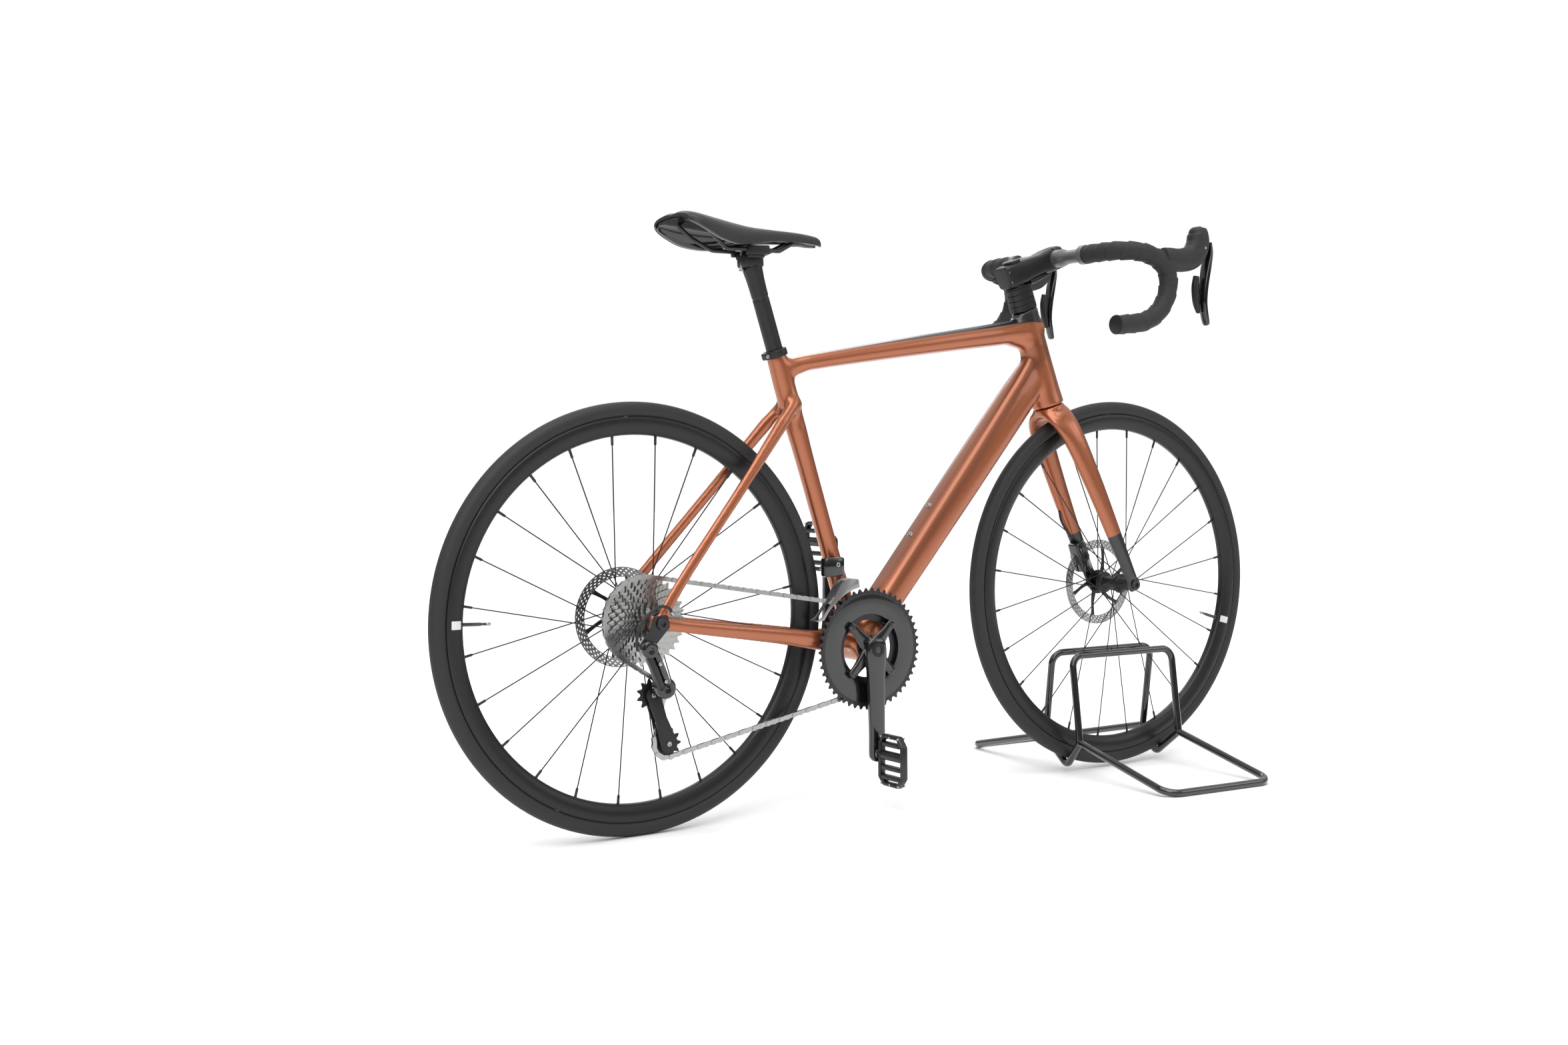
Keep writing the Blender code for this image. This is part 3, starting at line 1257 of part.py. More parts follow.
def main():
    for old in list(bpy.data.objects):
        bpy.data.objects.remove(old)
    body("frame", Vector((0, 0, 0)))
    attach_all(frame_tubes(), "frame")
    attach_all(bottle_bolts(), "frame")
    attach_all([seatpost_collar(), rear_thru_axle(), rear_caliper(), derailleur_hanger(),
                rear_derailleur(), front_derailleur(), chain(), gear_housing()], "frame")
    body("front_derailleur_cage", FRONT_CAGE_PIVOT, "frame")
    attach(front_derailleur_cage(), "front_derailleur_cage")

    body("seatpost", seat(SEAT_TOP), "frame")
    attach_all([seatpost(), saddle_clamp(), *saddle()], "seatpost")

    body("rear_wheel", REAR_AXLE, "frame")
    attach_all(rear_wheel(), "rear_wheel")
    body("cassette", REAR_AXLE, "frame")
    attach(cassette(), "cassette")

    body("crank", BOTTOM_BRACKET, "frame")
    attach_all(crank(), "crank")
    for word, side, down in (("right", -1, True), ("left", 1, False)):
        toward = -1 if down else 1
        eye = BOTTOM_BRACKET + Vector((0, side * 0.0675, toward * CRANK_LENGTH))
        body("pedal_" + word, eye, "crank")
        attach(pedal("pedal_" + word, side, down), "pedal_" + word)

    body("derailleur_cage", P_KNUCKLE, "frame")
    attach(derailleur_cage(), "derailleur_cage")
    for name, centre in (("guide_pulley", GUIDE_PULLEY), ("tension_pulley", TENSION_PULLEY)):
        body(name, centre, "derailleur_cage")
        attach(pulley(name, centre), name)

    body("fork", steer(CROWN_TOP), "frame")
    pieces = [fork(), front_thru_axle(), front_caliper(), front_brake_hose(), headset_spacers(),
              *stem(), handlebar()]
    for word, side in SIDES:
        pieces += [bar_tape(word, side), lever_hood(word, side)]
    attach_all(pieces, "fork")
    for word, side in SIDES:
        body("brake_lever_" + word, Vector((LEVER_PIN.x, side * LEVER_Y, LEVER_PIN.z)), "fork")
        attach(blade("brake_lever_" + word, LEVER_STATIONS, side, 0.0, "gloss_black"), "brake_lever_" + word)
        pivot = Vector((PADDLE_PIVOT.x, side * (LEVER_Y - 0.004), PADDLE_PIVOT.z))
        body("shift_paddle_" + word, pivot, "brake_lever_" + word)
        attach(blade("shift_paddle_" + word, PADDLE_STATIONS, side, 0.004, "gloss_black"),
               "shift_paddle_" + word)

    body("front_wheel", FRONT_AXLE, "fork")
    attach_all(front_wheel(), "front_wheel")
    body("stand", Vector((FRONT_AXLE.x, 0, 0)), "fork")
    attach(stand(), "stand")


main()
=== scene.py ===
"""A drop-bar road bicycle whose front wheel stands in a bent-tube display stand.

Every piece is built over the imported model's solids, in metres, and rides on one of its bodies.
"""

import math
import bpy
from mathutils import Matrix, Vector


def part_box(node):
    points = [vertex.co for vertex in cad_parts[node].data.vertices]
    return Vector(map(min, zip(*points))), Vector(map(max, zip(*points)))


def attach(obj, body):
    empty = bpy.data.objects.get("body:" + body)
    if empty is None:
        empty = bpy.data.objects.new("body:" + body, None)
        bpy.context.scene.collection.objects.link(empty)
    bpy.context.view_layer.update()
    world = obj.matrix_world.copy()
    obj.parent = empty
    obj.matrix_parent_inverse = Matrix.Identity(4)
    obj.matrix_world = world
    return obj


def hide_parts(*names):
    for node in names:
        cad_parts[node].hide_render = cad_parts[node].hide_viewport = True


bl_info = {
    "name": "Road bicycle on a stand",
    "version": (1, 0, 0),
    "blender": (4, 5, 0),
    "location": "3D View > Sidebar > Bicycle",
    "description": "Builds a road bicycle, its display stand and a plain studio",
    "category": "Object",
}

import bmesh
import bpy
from bpy.props import FloatProperty, FloatVectorProperty, IntProperty, PointerProperty
from bpy.types import Operator, Panel, PropertyGroup
from mathutils import Matrix, Vector

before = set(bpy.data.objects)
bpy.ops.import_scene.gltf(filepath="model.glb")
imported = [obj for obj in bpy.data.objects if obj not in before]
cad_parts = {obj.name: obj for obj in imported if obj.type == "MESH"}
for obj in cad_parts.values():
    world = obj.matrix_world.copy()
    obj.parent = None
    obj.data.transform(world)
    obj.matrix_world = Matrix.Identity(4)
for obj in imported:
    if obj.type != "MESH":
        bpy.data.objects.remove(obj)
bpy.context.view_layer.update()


# ---------------------------------------------------------------- sizes that the pieces share
def middle(node):
    low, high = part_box(node)
    return (Vector(low) + Vector(high)) / 2


REAR_AXLE = middle("rear_rim")
FRONT_AXLE = middle("front_rim")
CRANK_AXLE = Vector((middle("chainring_inner").x, 0, 0.268))
HEAD_ANGLE = math.radians(71.6)
STEER_UP = Vector((-math.cos(HEAD_ANGLE), 0, math.sin(HEAD_ANGLE)))
STEER_AHEAD = Vector((math.sin(HEAD_ANGLE), 0, math.cos(HEAD_ANGLE)))
STEER_FOOT = FRONT_AXLE - STEER_AHEAD * 0.045
SEAT_FOOT = CRANK_AXLE + Vector((0.005, 0, 0))
SEAT_SLOPE = 0.3134
SEAT_UP = Vector((-SEAT_SLOPE, 0, 1)).normalized()
BAR_CENTRE = Vector((0.349, 0, 0.940))
WHEEL_RADIUS = 0.339
CRANK_LENGTH = 0.1725
BIG_RING_Y = -0.0480
SMALL_RING_Y = -0.0405
LARGEST_SPROCKET_Y = -0.0250
SPROCKET_STEP = 0.0034
CHAIN_PITCH = 0.0127
PULLEY_TEETH = 11
GUIDE_PULLEY = Vector((-0.492, LARGEST_SPROCKET_Y, 0.2235))
TENSION_PULLEY = Vector((-0.466, LARGEST_SPROCKET_Y, 0.1445))
Y_AXIS = Vector((0, 1, 0))
Z_AXIS = Vector((0, 0, 1))
SIDES = (("right", -1), ("left", 1))
TO_AXLE = Matrix.Rotation(math.pi / 2, 4, "X")
DOWN_TUBE_LOW = Vector((-0.010, 0, 0.363))
DOWN_TUBE_ALONG = (Vector((0.262, 0, 0.679)) - DOWN_TUBE_LOW).normalized()
DOWN_TUBE_UP = Vector((-DOWN_TUBE_ALONG.z, 0, DOWN_TUBE_ALONG.x))


def steer(along, ahead=0.0, side=0.0):
    return STEER_FOOT + STEER_UP * along + STEER_AHEAD * ahead + Y_AXIS * side


def seat(height):
    return Vector((SEAT_FOOT.x - SEAT_SLOPE * (height - SEAT_FOOT.z), 0, height))


def pitch_radius(teeth):
    return CHAIN_PITCH / (2 * math.sin(math.pi / teeth))


# ---------------------------------------------------------------- sizes and colours to change
class BicycleSizes(PropertyGroup):
    tyre_width: FloatProperty(name="Tyre width", default=0.0268, unit="LENGTH",
                              description="Width of both tyres across the tread")
    spokes: IntProperty(name="Spokes", default=24, min=12, max=36, description="Spokes in each wheel")
    tape_wraps: FloatProperty(name="Tape pitch", default=0.026, unit="LENGTH",
                              description="How far one turn of bar tape advances")
    big_ring_teeth: IntProperty(name="Outer ring teeth", default=50, min=40, max=56,
                                description="Teeth of the outer chainring")
    small_ring_teeth: IntProperty(name="Inner ring teeth", default=34, min=30, max=40,
                                  description="Teeth of the inner chainring")
    sprockets: IntProperty(name="Sprockets", default=12, min=8, max=13,
                           description="Sprockets in the cassette")
    fillet: FloatProperty(name="Frame voxel", default=0.0022, unit="LENGTH",
                          description="Grain of the skin that blends the frame's tubes")


class BicycleColours(PropertyGroup):
    copper: FloatVectorProperty(name="Copper paint", subtype="COLOR", size=3, default=(0.385, 0.120, 0.052),
                                description="The frame's and fork's metallic paint")
    black: FloatVectorProperty(name="Black paint", subtype="COLOR", size=3, default=(0.010, 0.010, 0.012),
                               description="The dark paint on the frame's upper faces")
    rubber: FloatVectorProperty(name="Rubber", subtype="COLOR", size=3, default=(0.011, 0.011, 0.011),
                                description="Tyres, hoods and housings")
    silver: FloatVectorProperty(name="Bright steel", subtype="COLOR", size=3, default=(0.40, 0.40, 0.395),
                                description="Chain, cassette and bolts")
    floor: FloatVectorProperty(name="Floor", subtype="COLOR", size=3, default=(0.93, 0.93, 0.93),
                               description="The studio's floor and backdrop")


def sizes():
    return bpy.context.scene.bicycle_sizes


def colours():
    return bpy.context.scene.bicycle_colours


# ---------------------------------------------------------------- shader maths
class Value:
    """A node socket that does arithmetic: every operator adds a Math node to the tree."""

    def __init__(self, paint, socket):
        self.paint = paint
        self.socket = socket

    def _maths(self, operation, first, second=0.0, third=0.0):
        return self.paint.node("ShaderNodeMath", {"operation": operation}, [first, second, third])

    def __add__(self, other):
        return self._maths("ADD", self, other)

    def __sub__(self, other):
        return self._maths("SUBTRACT", self, other)

    def __rsub__(self, other):
        return self._maths("SUBTRACT", other, self)

    def __mul__(self, other):
        return self._maths("MULTIPLY", self, other)

    def __truediv__(self, other):
        return self._maths("DIVIDE", self, other)

    __radd__ = __add__
    __rmul__ = __mul__

    def above(self, edge, blur=0.001):
        """1 where the value is over the edge, 0 under it, with a soft step between."""
        settings = {"interpolation_type": "SMOOTHSTEP"}
        return self.paint.node("ShaderNodeMapRange", settings, [self, edge - blur, edge + blur, 0.0, 1.0])

    def flipped(self):
        return 1.0 - self

    def sine(self):
        return self._maths("SINE", self)

    def size(self):
        return self._maths("ABSOLUTE", self)

    def lowest(self, other):
        return self._maths("MINIMUM", self, other)

    def highest(self, other):
        return self._maths("MAXIMUM", self, other)

    def angle_to(self, other):
        return self._maths("ARCTAN2", self, other)

    def root(self):
        return self._maths("SQRT", self)


class Paint:
    """A procedural material under construction."""

    def __init__(self, name, colour, roughness, metallic=0.0, **constants):
        self.material = bpy.data.materials.new(name)
        self.material.use_nodes = True
        self.tree = self.material.node_tree
        self.shader = self.tree.nodes["Principled BSDF"]
        self.set("Base Color", (*colour, 1.0))
        self.set("Roughness", roughness)
        self.set("Metallic", metallic)
        self.material.diffuse_color = (*colour, 1.0)
        for key, constant in constants.items():
            self.shader.inputs[key.replace("_", " ").title().replace("Ior", "IOR")].default_value = constant

    def node(self, kind, settings, inputs, output=0):
        made = self.tree.nodes.new(kind)
        for key, setting in settings.items():
            setattr(made, key, setting)
        entries = inputs.items() if isinstance(inputs, dict) else enumerate(inputs)
        for key, entry in entries:
            if isinstance(entry, Value):
                self.tree.links.new(entry.socket, made.inputs[key])
            else:
                made.inputs[key].default_value = entry
        return Value(self, made.outputs[output])

    def set(self, name, entry):
        if isinstance(entry, Value):
            self.tree.links.new(entry.socket, self.shader.inputs[name])
        else:
            self.shader.inputs[name].default_value = entry

    def place(self, centre=(0, 0, 0)):
        """Object coordinates about a centre, in metres."""
        spot = self.node("ShaderNodeTexCoord", {}, [], "Object")
        return self.node("ShaderNodeVectorMath", {"operation": "SUBTRACT"}, [spot, tuple(centre)])

    def parts(self, vector):
        made = self.tree.nodes.new("ShaderNodeSeparateXYZ")
        self.tree.links.new(vector.socket, made.inputs[0])
        return [Value(self, socket) for socket in made.outputs]

    def noise(self, scale, detail=2.0, where=None):
        where = where or self.place()
        return self.node("ShaderNodeTexNoise", {}, {"Vector": where, "Scale": scale, "Detail": detail}, "Fac")

    def mix(self, factor, first, second):
        made = self.tree.nodes.new("ShaderNodeMix")
        made.data_type = "RGBA"
        for key, entry in ((0, factor), (6, first), (7, second)):
            if isinstance(entry, Value):
                self.tree.links.new(entry.socket, made.inputs[key])
            elif key:
                made.inputs[key].default_value = (*entry, 1.0)
            else:
                made.inputs[key].default_value = entry
        return Value(self, made.outputs[2])

    def bump(self, height, distance, strength=1.0):
        levels = {"Height": height, "Distance": distance, "Strength": strength}
        normal = self.node("ShaderNodeBump", {}, levels)
        self.set("Normal", normal)


# ---------------------------------------------------------------- finishes
VALVE_ANGLES = {"front": math.radians(-16.7), "rear": math.radians(177.9)}
FLAKE_METALLIC = 0.72
FINISHES = {}


def kept(make):
    """Makes a finish once and hands the same material out afterwards."""
    def finish():
        if make.__name__ not in FINISHES:
            FINISHES[make.__name__] = make()
        return FINISHES[make.__name__]
    finish.slot = make.__name__
    return finish


def speckled(paint, colour, depth, scale, roughness, swing):
    """Fine variation in colour and in roughness, shared by the plain finishes."""
    grain = paint.noise(scale, 4.0)
    dark = tuple(c * (1 - depth) for c in colour)
    light = tuple(min(1.0, c * (1 + depth)) for c in colour)
    paint.set("Base Color", paint.mix(grain, dark, light))
    paint.set("Roughness", roughness - swing + paint.noise(scale / 9) * (2 * swing))
    return grain


def shaded(colour, share):
    return tuple(min(1.0, c * share) for c in colour)


def flaked(name):
    """Metal flake in copper under a clear coat: the paint, its flake and its body colour."""
    copper = colours().copper
    paint = Paint(name, copper, 0.30, FLAKE_METALLIC, coat_weight=0.55, coat_roughness=0.10)
    flake = paint.noise(2600.0, 2.0)
    cloud = paint.noise(9.0, 2.0)
    body = paint.mix(flake * 0.6 + cloud * 0.4, shaded(copper, 0.80), shaded(copper, 1.16))
    return paint, flake, body


def masked(paint, flake, body, mask, dulled):
    """Sets the flaked coat's channels, with plain black where the mask is 1."""
    paint.set("Base Color", paint.mix(mask, body, colours().black))
    paint.set("Metallic", FLAKE_METALLIC - mask * dulled)
    paint.set("Roughness", 0.27 + flake * 0.10)
    paint.bump(flake, 0.00002, 0.25)
    return paint.material


@kept
def copper_paint():
    """Black along the top of the top tube, and painted shade: darker copper on top of the down tube."""
    paint, flake, body = flaked("copper_paint")
    x, _, z = paint.parts(paint.place())
    headwards = x.lowest(0.29)
    black_mask = (z - headwards * 0.1435).above(0.7830, 0.0005) * x.above(-0.185, 0.010)
    across_down = (x - DOWN_TUBE_LOW.x) * DOWN_TUBE_UP.x + (z - DOWN_TUBE_LOW.z) * DOWN_TUBE_UP.z
    on_tube = across_down.above(0.006, 0.010) * across_down.above(0.045, 0.004).flipped()
    # painted shade: the down tube's upper face is mixed towards dark copper to stand in for its shading and
    # reflection
    down_tube_painted_shade = on_tube * x.above(-0.03, 0.03) * (x * 0.9 + 0.5 - z * 0.62).above(0.03, 0.01)
    shade = paint.mix(down_tube_painted_shade * 0.45, body, shaded(colours().copper, 0.35))
    return masked(paint, flake, shade, black_mask, 0.7)


@kept
def fork_paint():
    """Black at the fork's tips and up its steerer."""
    paint, flake, body = flaked("fork_paint")
    x, _, z = paint.parts(paint.place())
    headwards = x * STEER_UP.x + z * STEER_UP.z - STEER_FOOT.dot(STEER_UP)
    tip = headwards.above(0.104, 0.0006).flipped()
    steerer = headwards.above(0.3655, 0.0004)
    return masked(paint, flake, body, tip.highest(steerer), 0.6)


@kept
def satin_black():
    paint = Paint("satin_black", (0.010, 0.010, 0.011), 0.42, 0.25)
    grain = speckled(paint, (0.010, 0.010, 0.011), 0.25, 900.0, 0.42, 0.06)
    paint.bump(grain, 0.00004, 0.5)
    return paint.material


@kept
def gloss_black():
    paint = Paint("gloss_black", (0.006, 0.006, 0.007), 0.16, 0.15, coat_weight=0.8, coat_roughness=0.04)
    speckled(paint, (0.006, 0.006, 0.007), 0.3, 500.0, 0.17, 0.05)
    return paint.material


@kept
def stand_paint():
    paint = Paint("stand_paint", (0.008, 0.008, 0.009), 0.14, 0.1, coat_weight=0.9, coat_roughness=0.05)
    grain = speckled(paint, (0.008, 0.008, 0.009), 0.3, 260.0, 0.15, 0.04)
    paint.bump(grain, 0.00015, 0.25)
    return paint.material


def tyre_rubber(word, axle):
    """Slanted hatching round the tread and a mould line on each flank."""
    black = colours().rubber
    paint = Paint("tyre_rubber_" + word, black, 0.62)
    x, y, z = paint.parts(paint.place(axle))
    turn = z.angle_to(x)
    reach = (x * x + z * z).root()
    hatch = (turn * 520.0 + y.size() * 1500.0).sine()
    shoulders = y.size().above(0.0022, 0.0003) * y.size().above(0.0098, 0.0004).flipped()
    tread = shoulders * reach.above(0.3255, 0.001)
    line = ((reach - 0.3185).size()).above(0.0005, 0.0003).flipped()
    grain = paint.noise(700.0, 3.0)
    wear = paint.mix(grain, tuple(c * 0.7 for c in black), tuple(c * 1.5 for c in black))
    worn = paint.mix(y.size().above(0.004, 0.003).flipped() * 0.5, wear, tuple(c * 1.9 for c in black))
    paint.set("Base Color", worn)
    paint.set("Roughness", 0.55 + grain * 0.16)
    paint.bump(hatch * tread * 0.5 + line * 0.8 + grain * 0.15, 0.0004, 0.8)
    return paint.material


def rim_black(word, axle):
    """Satin black with a blank pale patch on each flank beside the valve."""
    paint = Paint("rim_black_" + word, (0.009, 0.009, 0.010), 0.38, 0.25)
    grain = speckled(paint, (0.009, 0.009, 0.010), 0.25, 900.0, 0.36, 0.06)
    x, _, z = paint.parts(paint.place(axle))
    c, s = math.cos(VALVE_ANGLES[word]), math.sin(VALVE_ANGLES[word])
    outward = x * c + z * s
    beside = (z * c - x * s).size()
    patch = beside.above(0.0062, 0.0002).flipped() * outward.above(0.2925, 0.0002)
    patch = patch * outward.above(0.3085, 0.0002).flipped()
    paint.set("Base Color", paint.mix(patch, (0.009, 0.009, 0.010), (0.70, 0.70, 0.69)))
    paint.bump(grain, 0.00004, 0.5)
    return paint.material


@kept
def soft_rubber():
    black = colours().rubber
    paint = Paint("soft_rubber", black, 0.62)
    x, _, z = paint.parts(paint.place())
    grain = speckled(paint, black, 0.30, 800.0, 0.60, 0.07)
    ribs = ((x + z) * 1900.0).sine() * ((x - z) * 1900.0).sine()
    paint.bump(ribs * 0.5 + grain * 0.4, 0.00015, 0.5)
    return paint.material


@kept
def saddle_skin():
    paint = Paint("saddle_skin", (0.012, 0.012, 0.0125), 0.52)
    pebble = paint.node("ShaderNodeTexVoronoi", {"feature": "SMOOTH_F1"},
                        {"Vector": paint.place(), "Scale": 900.0, "Smoothness": 0.6})
    grain = speckled(paint, (0.012, 0.012, 0.0125), 0.25, 350.0, 0.52, 0.05)
    paint.bump(pebble + grain * 0.3, 0.00012, 0.5)
    return paint.material


@kept
def bar_tape():
    paint = Paint("bar_tape", (0.015, 0.015, 0.0155), 0.72)
    grain = speckled(paint, (0.015, 0.015, 0.0155), 0.35, 1100.0, 0.70, 0.08)
    dots = paint.node("ShaderNodeTexVoronoi", {"feature": "F1"}, {"Vector": paint.place(), "Scale": 620.0})
    paint.bump(dots * 0.7 + grain * 0.4, 0.0002, 0.6)
    return paint.material


@kept
def silver():
    bright = colours().silver
    paint = Paint("silver", bright, 0.26, 1.0)
    speckled(paint, bright, 0.10, 420.0, 0.27, 0.08)
    return paint.material


@kept
def steel():
    paint = Paint("steel", (0.30, 0.30, 0.305), 0.34, 1.0)
    grain = speckled(paint, (0.30, 0.30, 0.305), 0.14, 300.0, 0.33, 0.09)
    paint.bump(grain, 0.00003, 0.5)
    return paint.material


@kept
def dark_metal():
    paint = Paint("dark_metal", (0.050, 0.050, 0.054), 0.36, 0.85)
    grain = speckled(paint, (0.050, 0.050, 0.054), 0.20, 500.0, 0.36, 0.07)
    paint.bump(grain, 0.00003, 0.5)
    return paint.material


@kept
def bare_bar():
    paint = Paint("bare_bar", (0.17, 0.17, 0.175), 0.40, 0.7)
    speckled(paint, (0.17, 0.17, 0.175), 0.12, 420.0, 0.40, 0.06)
    return paint.material


def brake_steel(axle):
    """Brushed rings round the axle, with the sweep of the pads."""
    paint = Paint("brake_steel", (0.46, 0.46, 0.47), 0.30, 1.0)
    x, _, z = paint.parts(paint.place(axle))
    reach = (x * x + z * z).root()
    rings = (reach * 9000.0).sine()
    paint.set("Base Color", paint.mix(rings * 0.5 + 0.5, (0.26, 0.26, 0.265), (0.40, 0.40, 0.405)))
    paint.set("Roughness", 0.30 + paint.noise(120.0) * 0.10)
    paint.bump(rings, 0.00002, 0.4)
    return paint.material


# ---------------------------------------------------------------- mesh helpers
def skin(rings, closed=False, caps=True):
    """Faces that join rings of equal length, with flat caps at both ends."""
    count = len(rings[0])
    points = [point for ring in rings for point in ring]
    faces = []
    for i in range(len(rings) if closed else len(rings) - 1):
        a, b = i * count, ((i + 1) % len(rings)) * count
        for j in range(count):
            k = (j + 1) % count
            faces.append((a + j, a + k, b + k, b + j))
    if caps and not closed:
        faces.append(tuple(range(count)))
        faces.append(tuple(range((len(rings) - 1) * count, len(rings) * count)))
    return points, faces


def ellipse(centre, across, up, half_across, half_up, sides=32, power=2.0):
    """A superellipse of points; a power above 2 squares its corners."""
    ring = []
    for i in range(sides):
        angle = 2 * math.pi * (i + 0.5) / sides
        c, s = math.cos(angle), math.sin(angle)
        u = math.copysign(abs(c) ** (2 / power), c) * half_across
        v = math.copysign(abs(s) ** (2 / power), s) * half_up
        ring.append(centre + across * u + up * v)
    return ring


def tangents(points, closed=False):
    count = len(points)
    result = []
    for i in range(count):
        before = points[(i - 1) % count] if closed else points[max(i - 1, 0)]
        after = points[(i + 1) % count] if closed else points[min(i + 1, count - 1)]
        result.append((after - before).normalized())
    return result


def curved(rows, steps):
    """Rows of numbers on a smooth curve through the given rows."""
    rows = [tuple(row) for row in rows]
    first = tuple(2 * a - b for a, b in zip(rows[0], rows[1]))
    last = tuple(2 * a - b for a, b in zip(rows[-1], rows[-2]))
    padded = [first, *rows, last]
    path = []
    for before, here, ahead, beyond in zip(padded, padded[1:], padded[2:], padded[3:]):
        for i in range(steps):
            t = i / steps
            path.append(tuple(
                0.5 * (2 * b + (c - a) * t + (2 * a - 5 * b + 4 * c - d) * t ** 2
                       + (3 * b - a - 3 * c + d) * t ** 3)
                for a, b, c, d in zip(before, here, ahead, beyond)))
    path.append(rows[-1])
    return path


def curved_points(controls, steps=6):
    return [Vector(row) for row in curved(controls, steps)]


def tube_rings(stations, sides=32, power=2.0, steps=6):
    """Rings along stations of (centre, half width sideways, half height)."""
    rows = curved([(*centre, width, height) for centre, width, height in stations], steps)
    centres = [Vector(row[:3]) for row in rows]
    rings = []
    for centre, direction, row in zip(centres, tangents(centres), rows):
        across = (Y_AXIS - direction * direction.y).normalized()
        rings.append(ellipse(centre, across, direction.cross(across), row[3], row[4], sides, power))
    return rings


def carried_frames(points, closed=False, first_side=None):
    """Side and up directions carried along a path without twisting."""
    along = tangents(points, closed)
    side = first_side or (Y_AXIS if abs(along[0].y) < 0.9 else Z_AXIS)
    frames = []
    for direction in along:
        side = (side - direction * side.dot(direction)).normalized()
        frames.append((side, direction.cross(side)))
    return frames


def placed(origin, z_axis, y_axis=Y_AXIS):
    """A frame at origin with its Z along one direction and its Y near another."""
    x_axis = y_axis.cross(z_axis).normalized()
    y_axis = z_axis.cross(x_axis).normalized()
    return Matrix.Translation(origin) @ Matrix((x_axis, y_axis, z_axis)).transposed().to_4x4()


UP_STEERER = placed(STEER_FOOT, STEER_UP)


def across_axle(origin):
    """A frame at origin whose Z runs along the axle towards the drive side."""
    return Matrix.Translation(origin) @ TO_AXLE


def rounded(corners, radius, steps=8):
    """A path through corners, each turned by an arc of the given radius."""
    corners = [Vector(corner) for corner in corners]
    path = [corners[0]]
    for before, here, after in zip(corners, corners[1:], corners[2:]):
        back = (before - here).normalized()
        ahead = (after - here).normalized()
        half_angle = back.angle(ahead) / 2
        reach = radius / math.tan(half_angle)
        middle_point = here + (back + ahead).normalized() * (radius / math.sin(half_angle))
        first = here + back * reach - middle_point
        last = here + ahead * reach - middle_point
        for step in range(steps + 1):
            path.append(middle_point + first.slerp(last, step / steps).normalized() * radius)
    path.append(corners[-1])
    return path


def mirrored(points):
    return [Vector((p.x, -p.y, p.z)) for p in points]


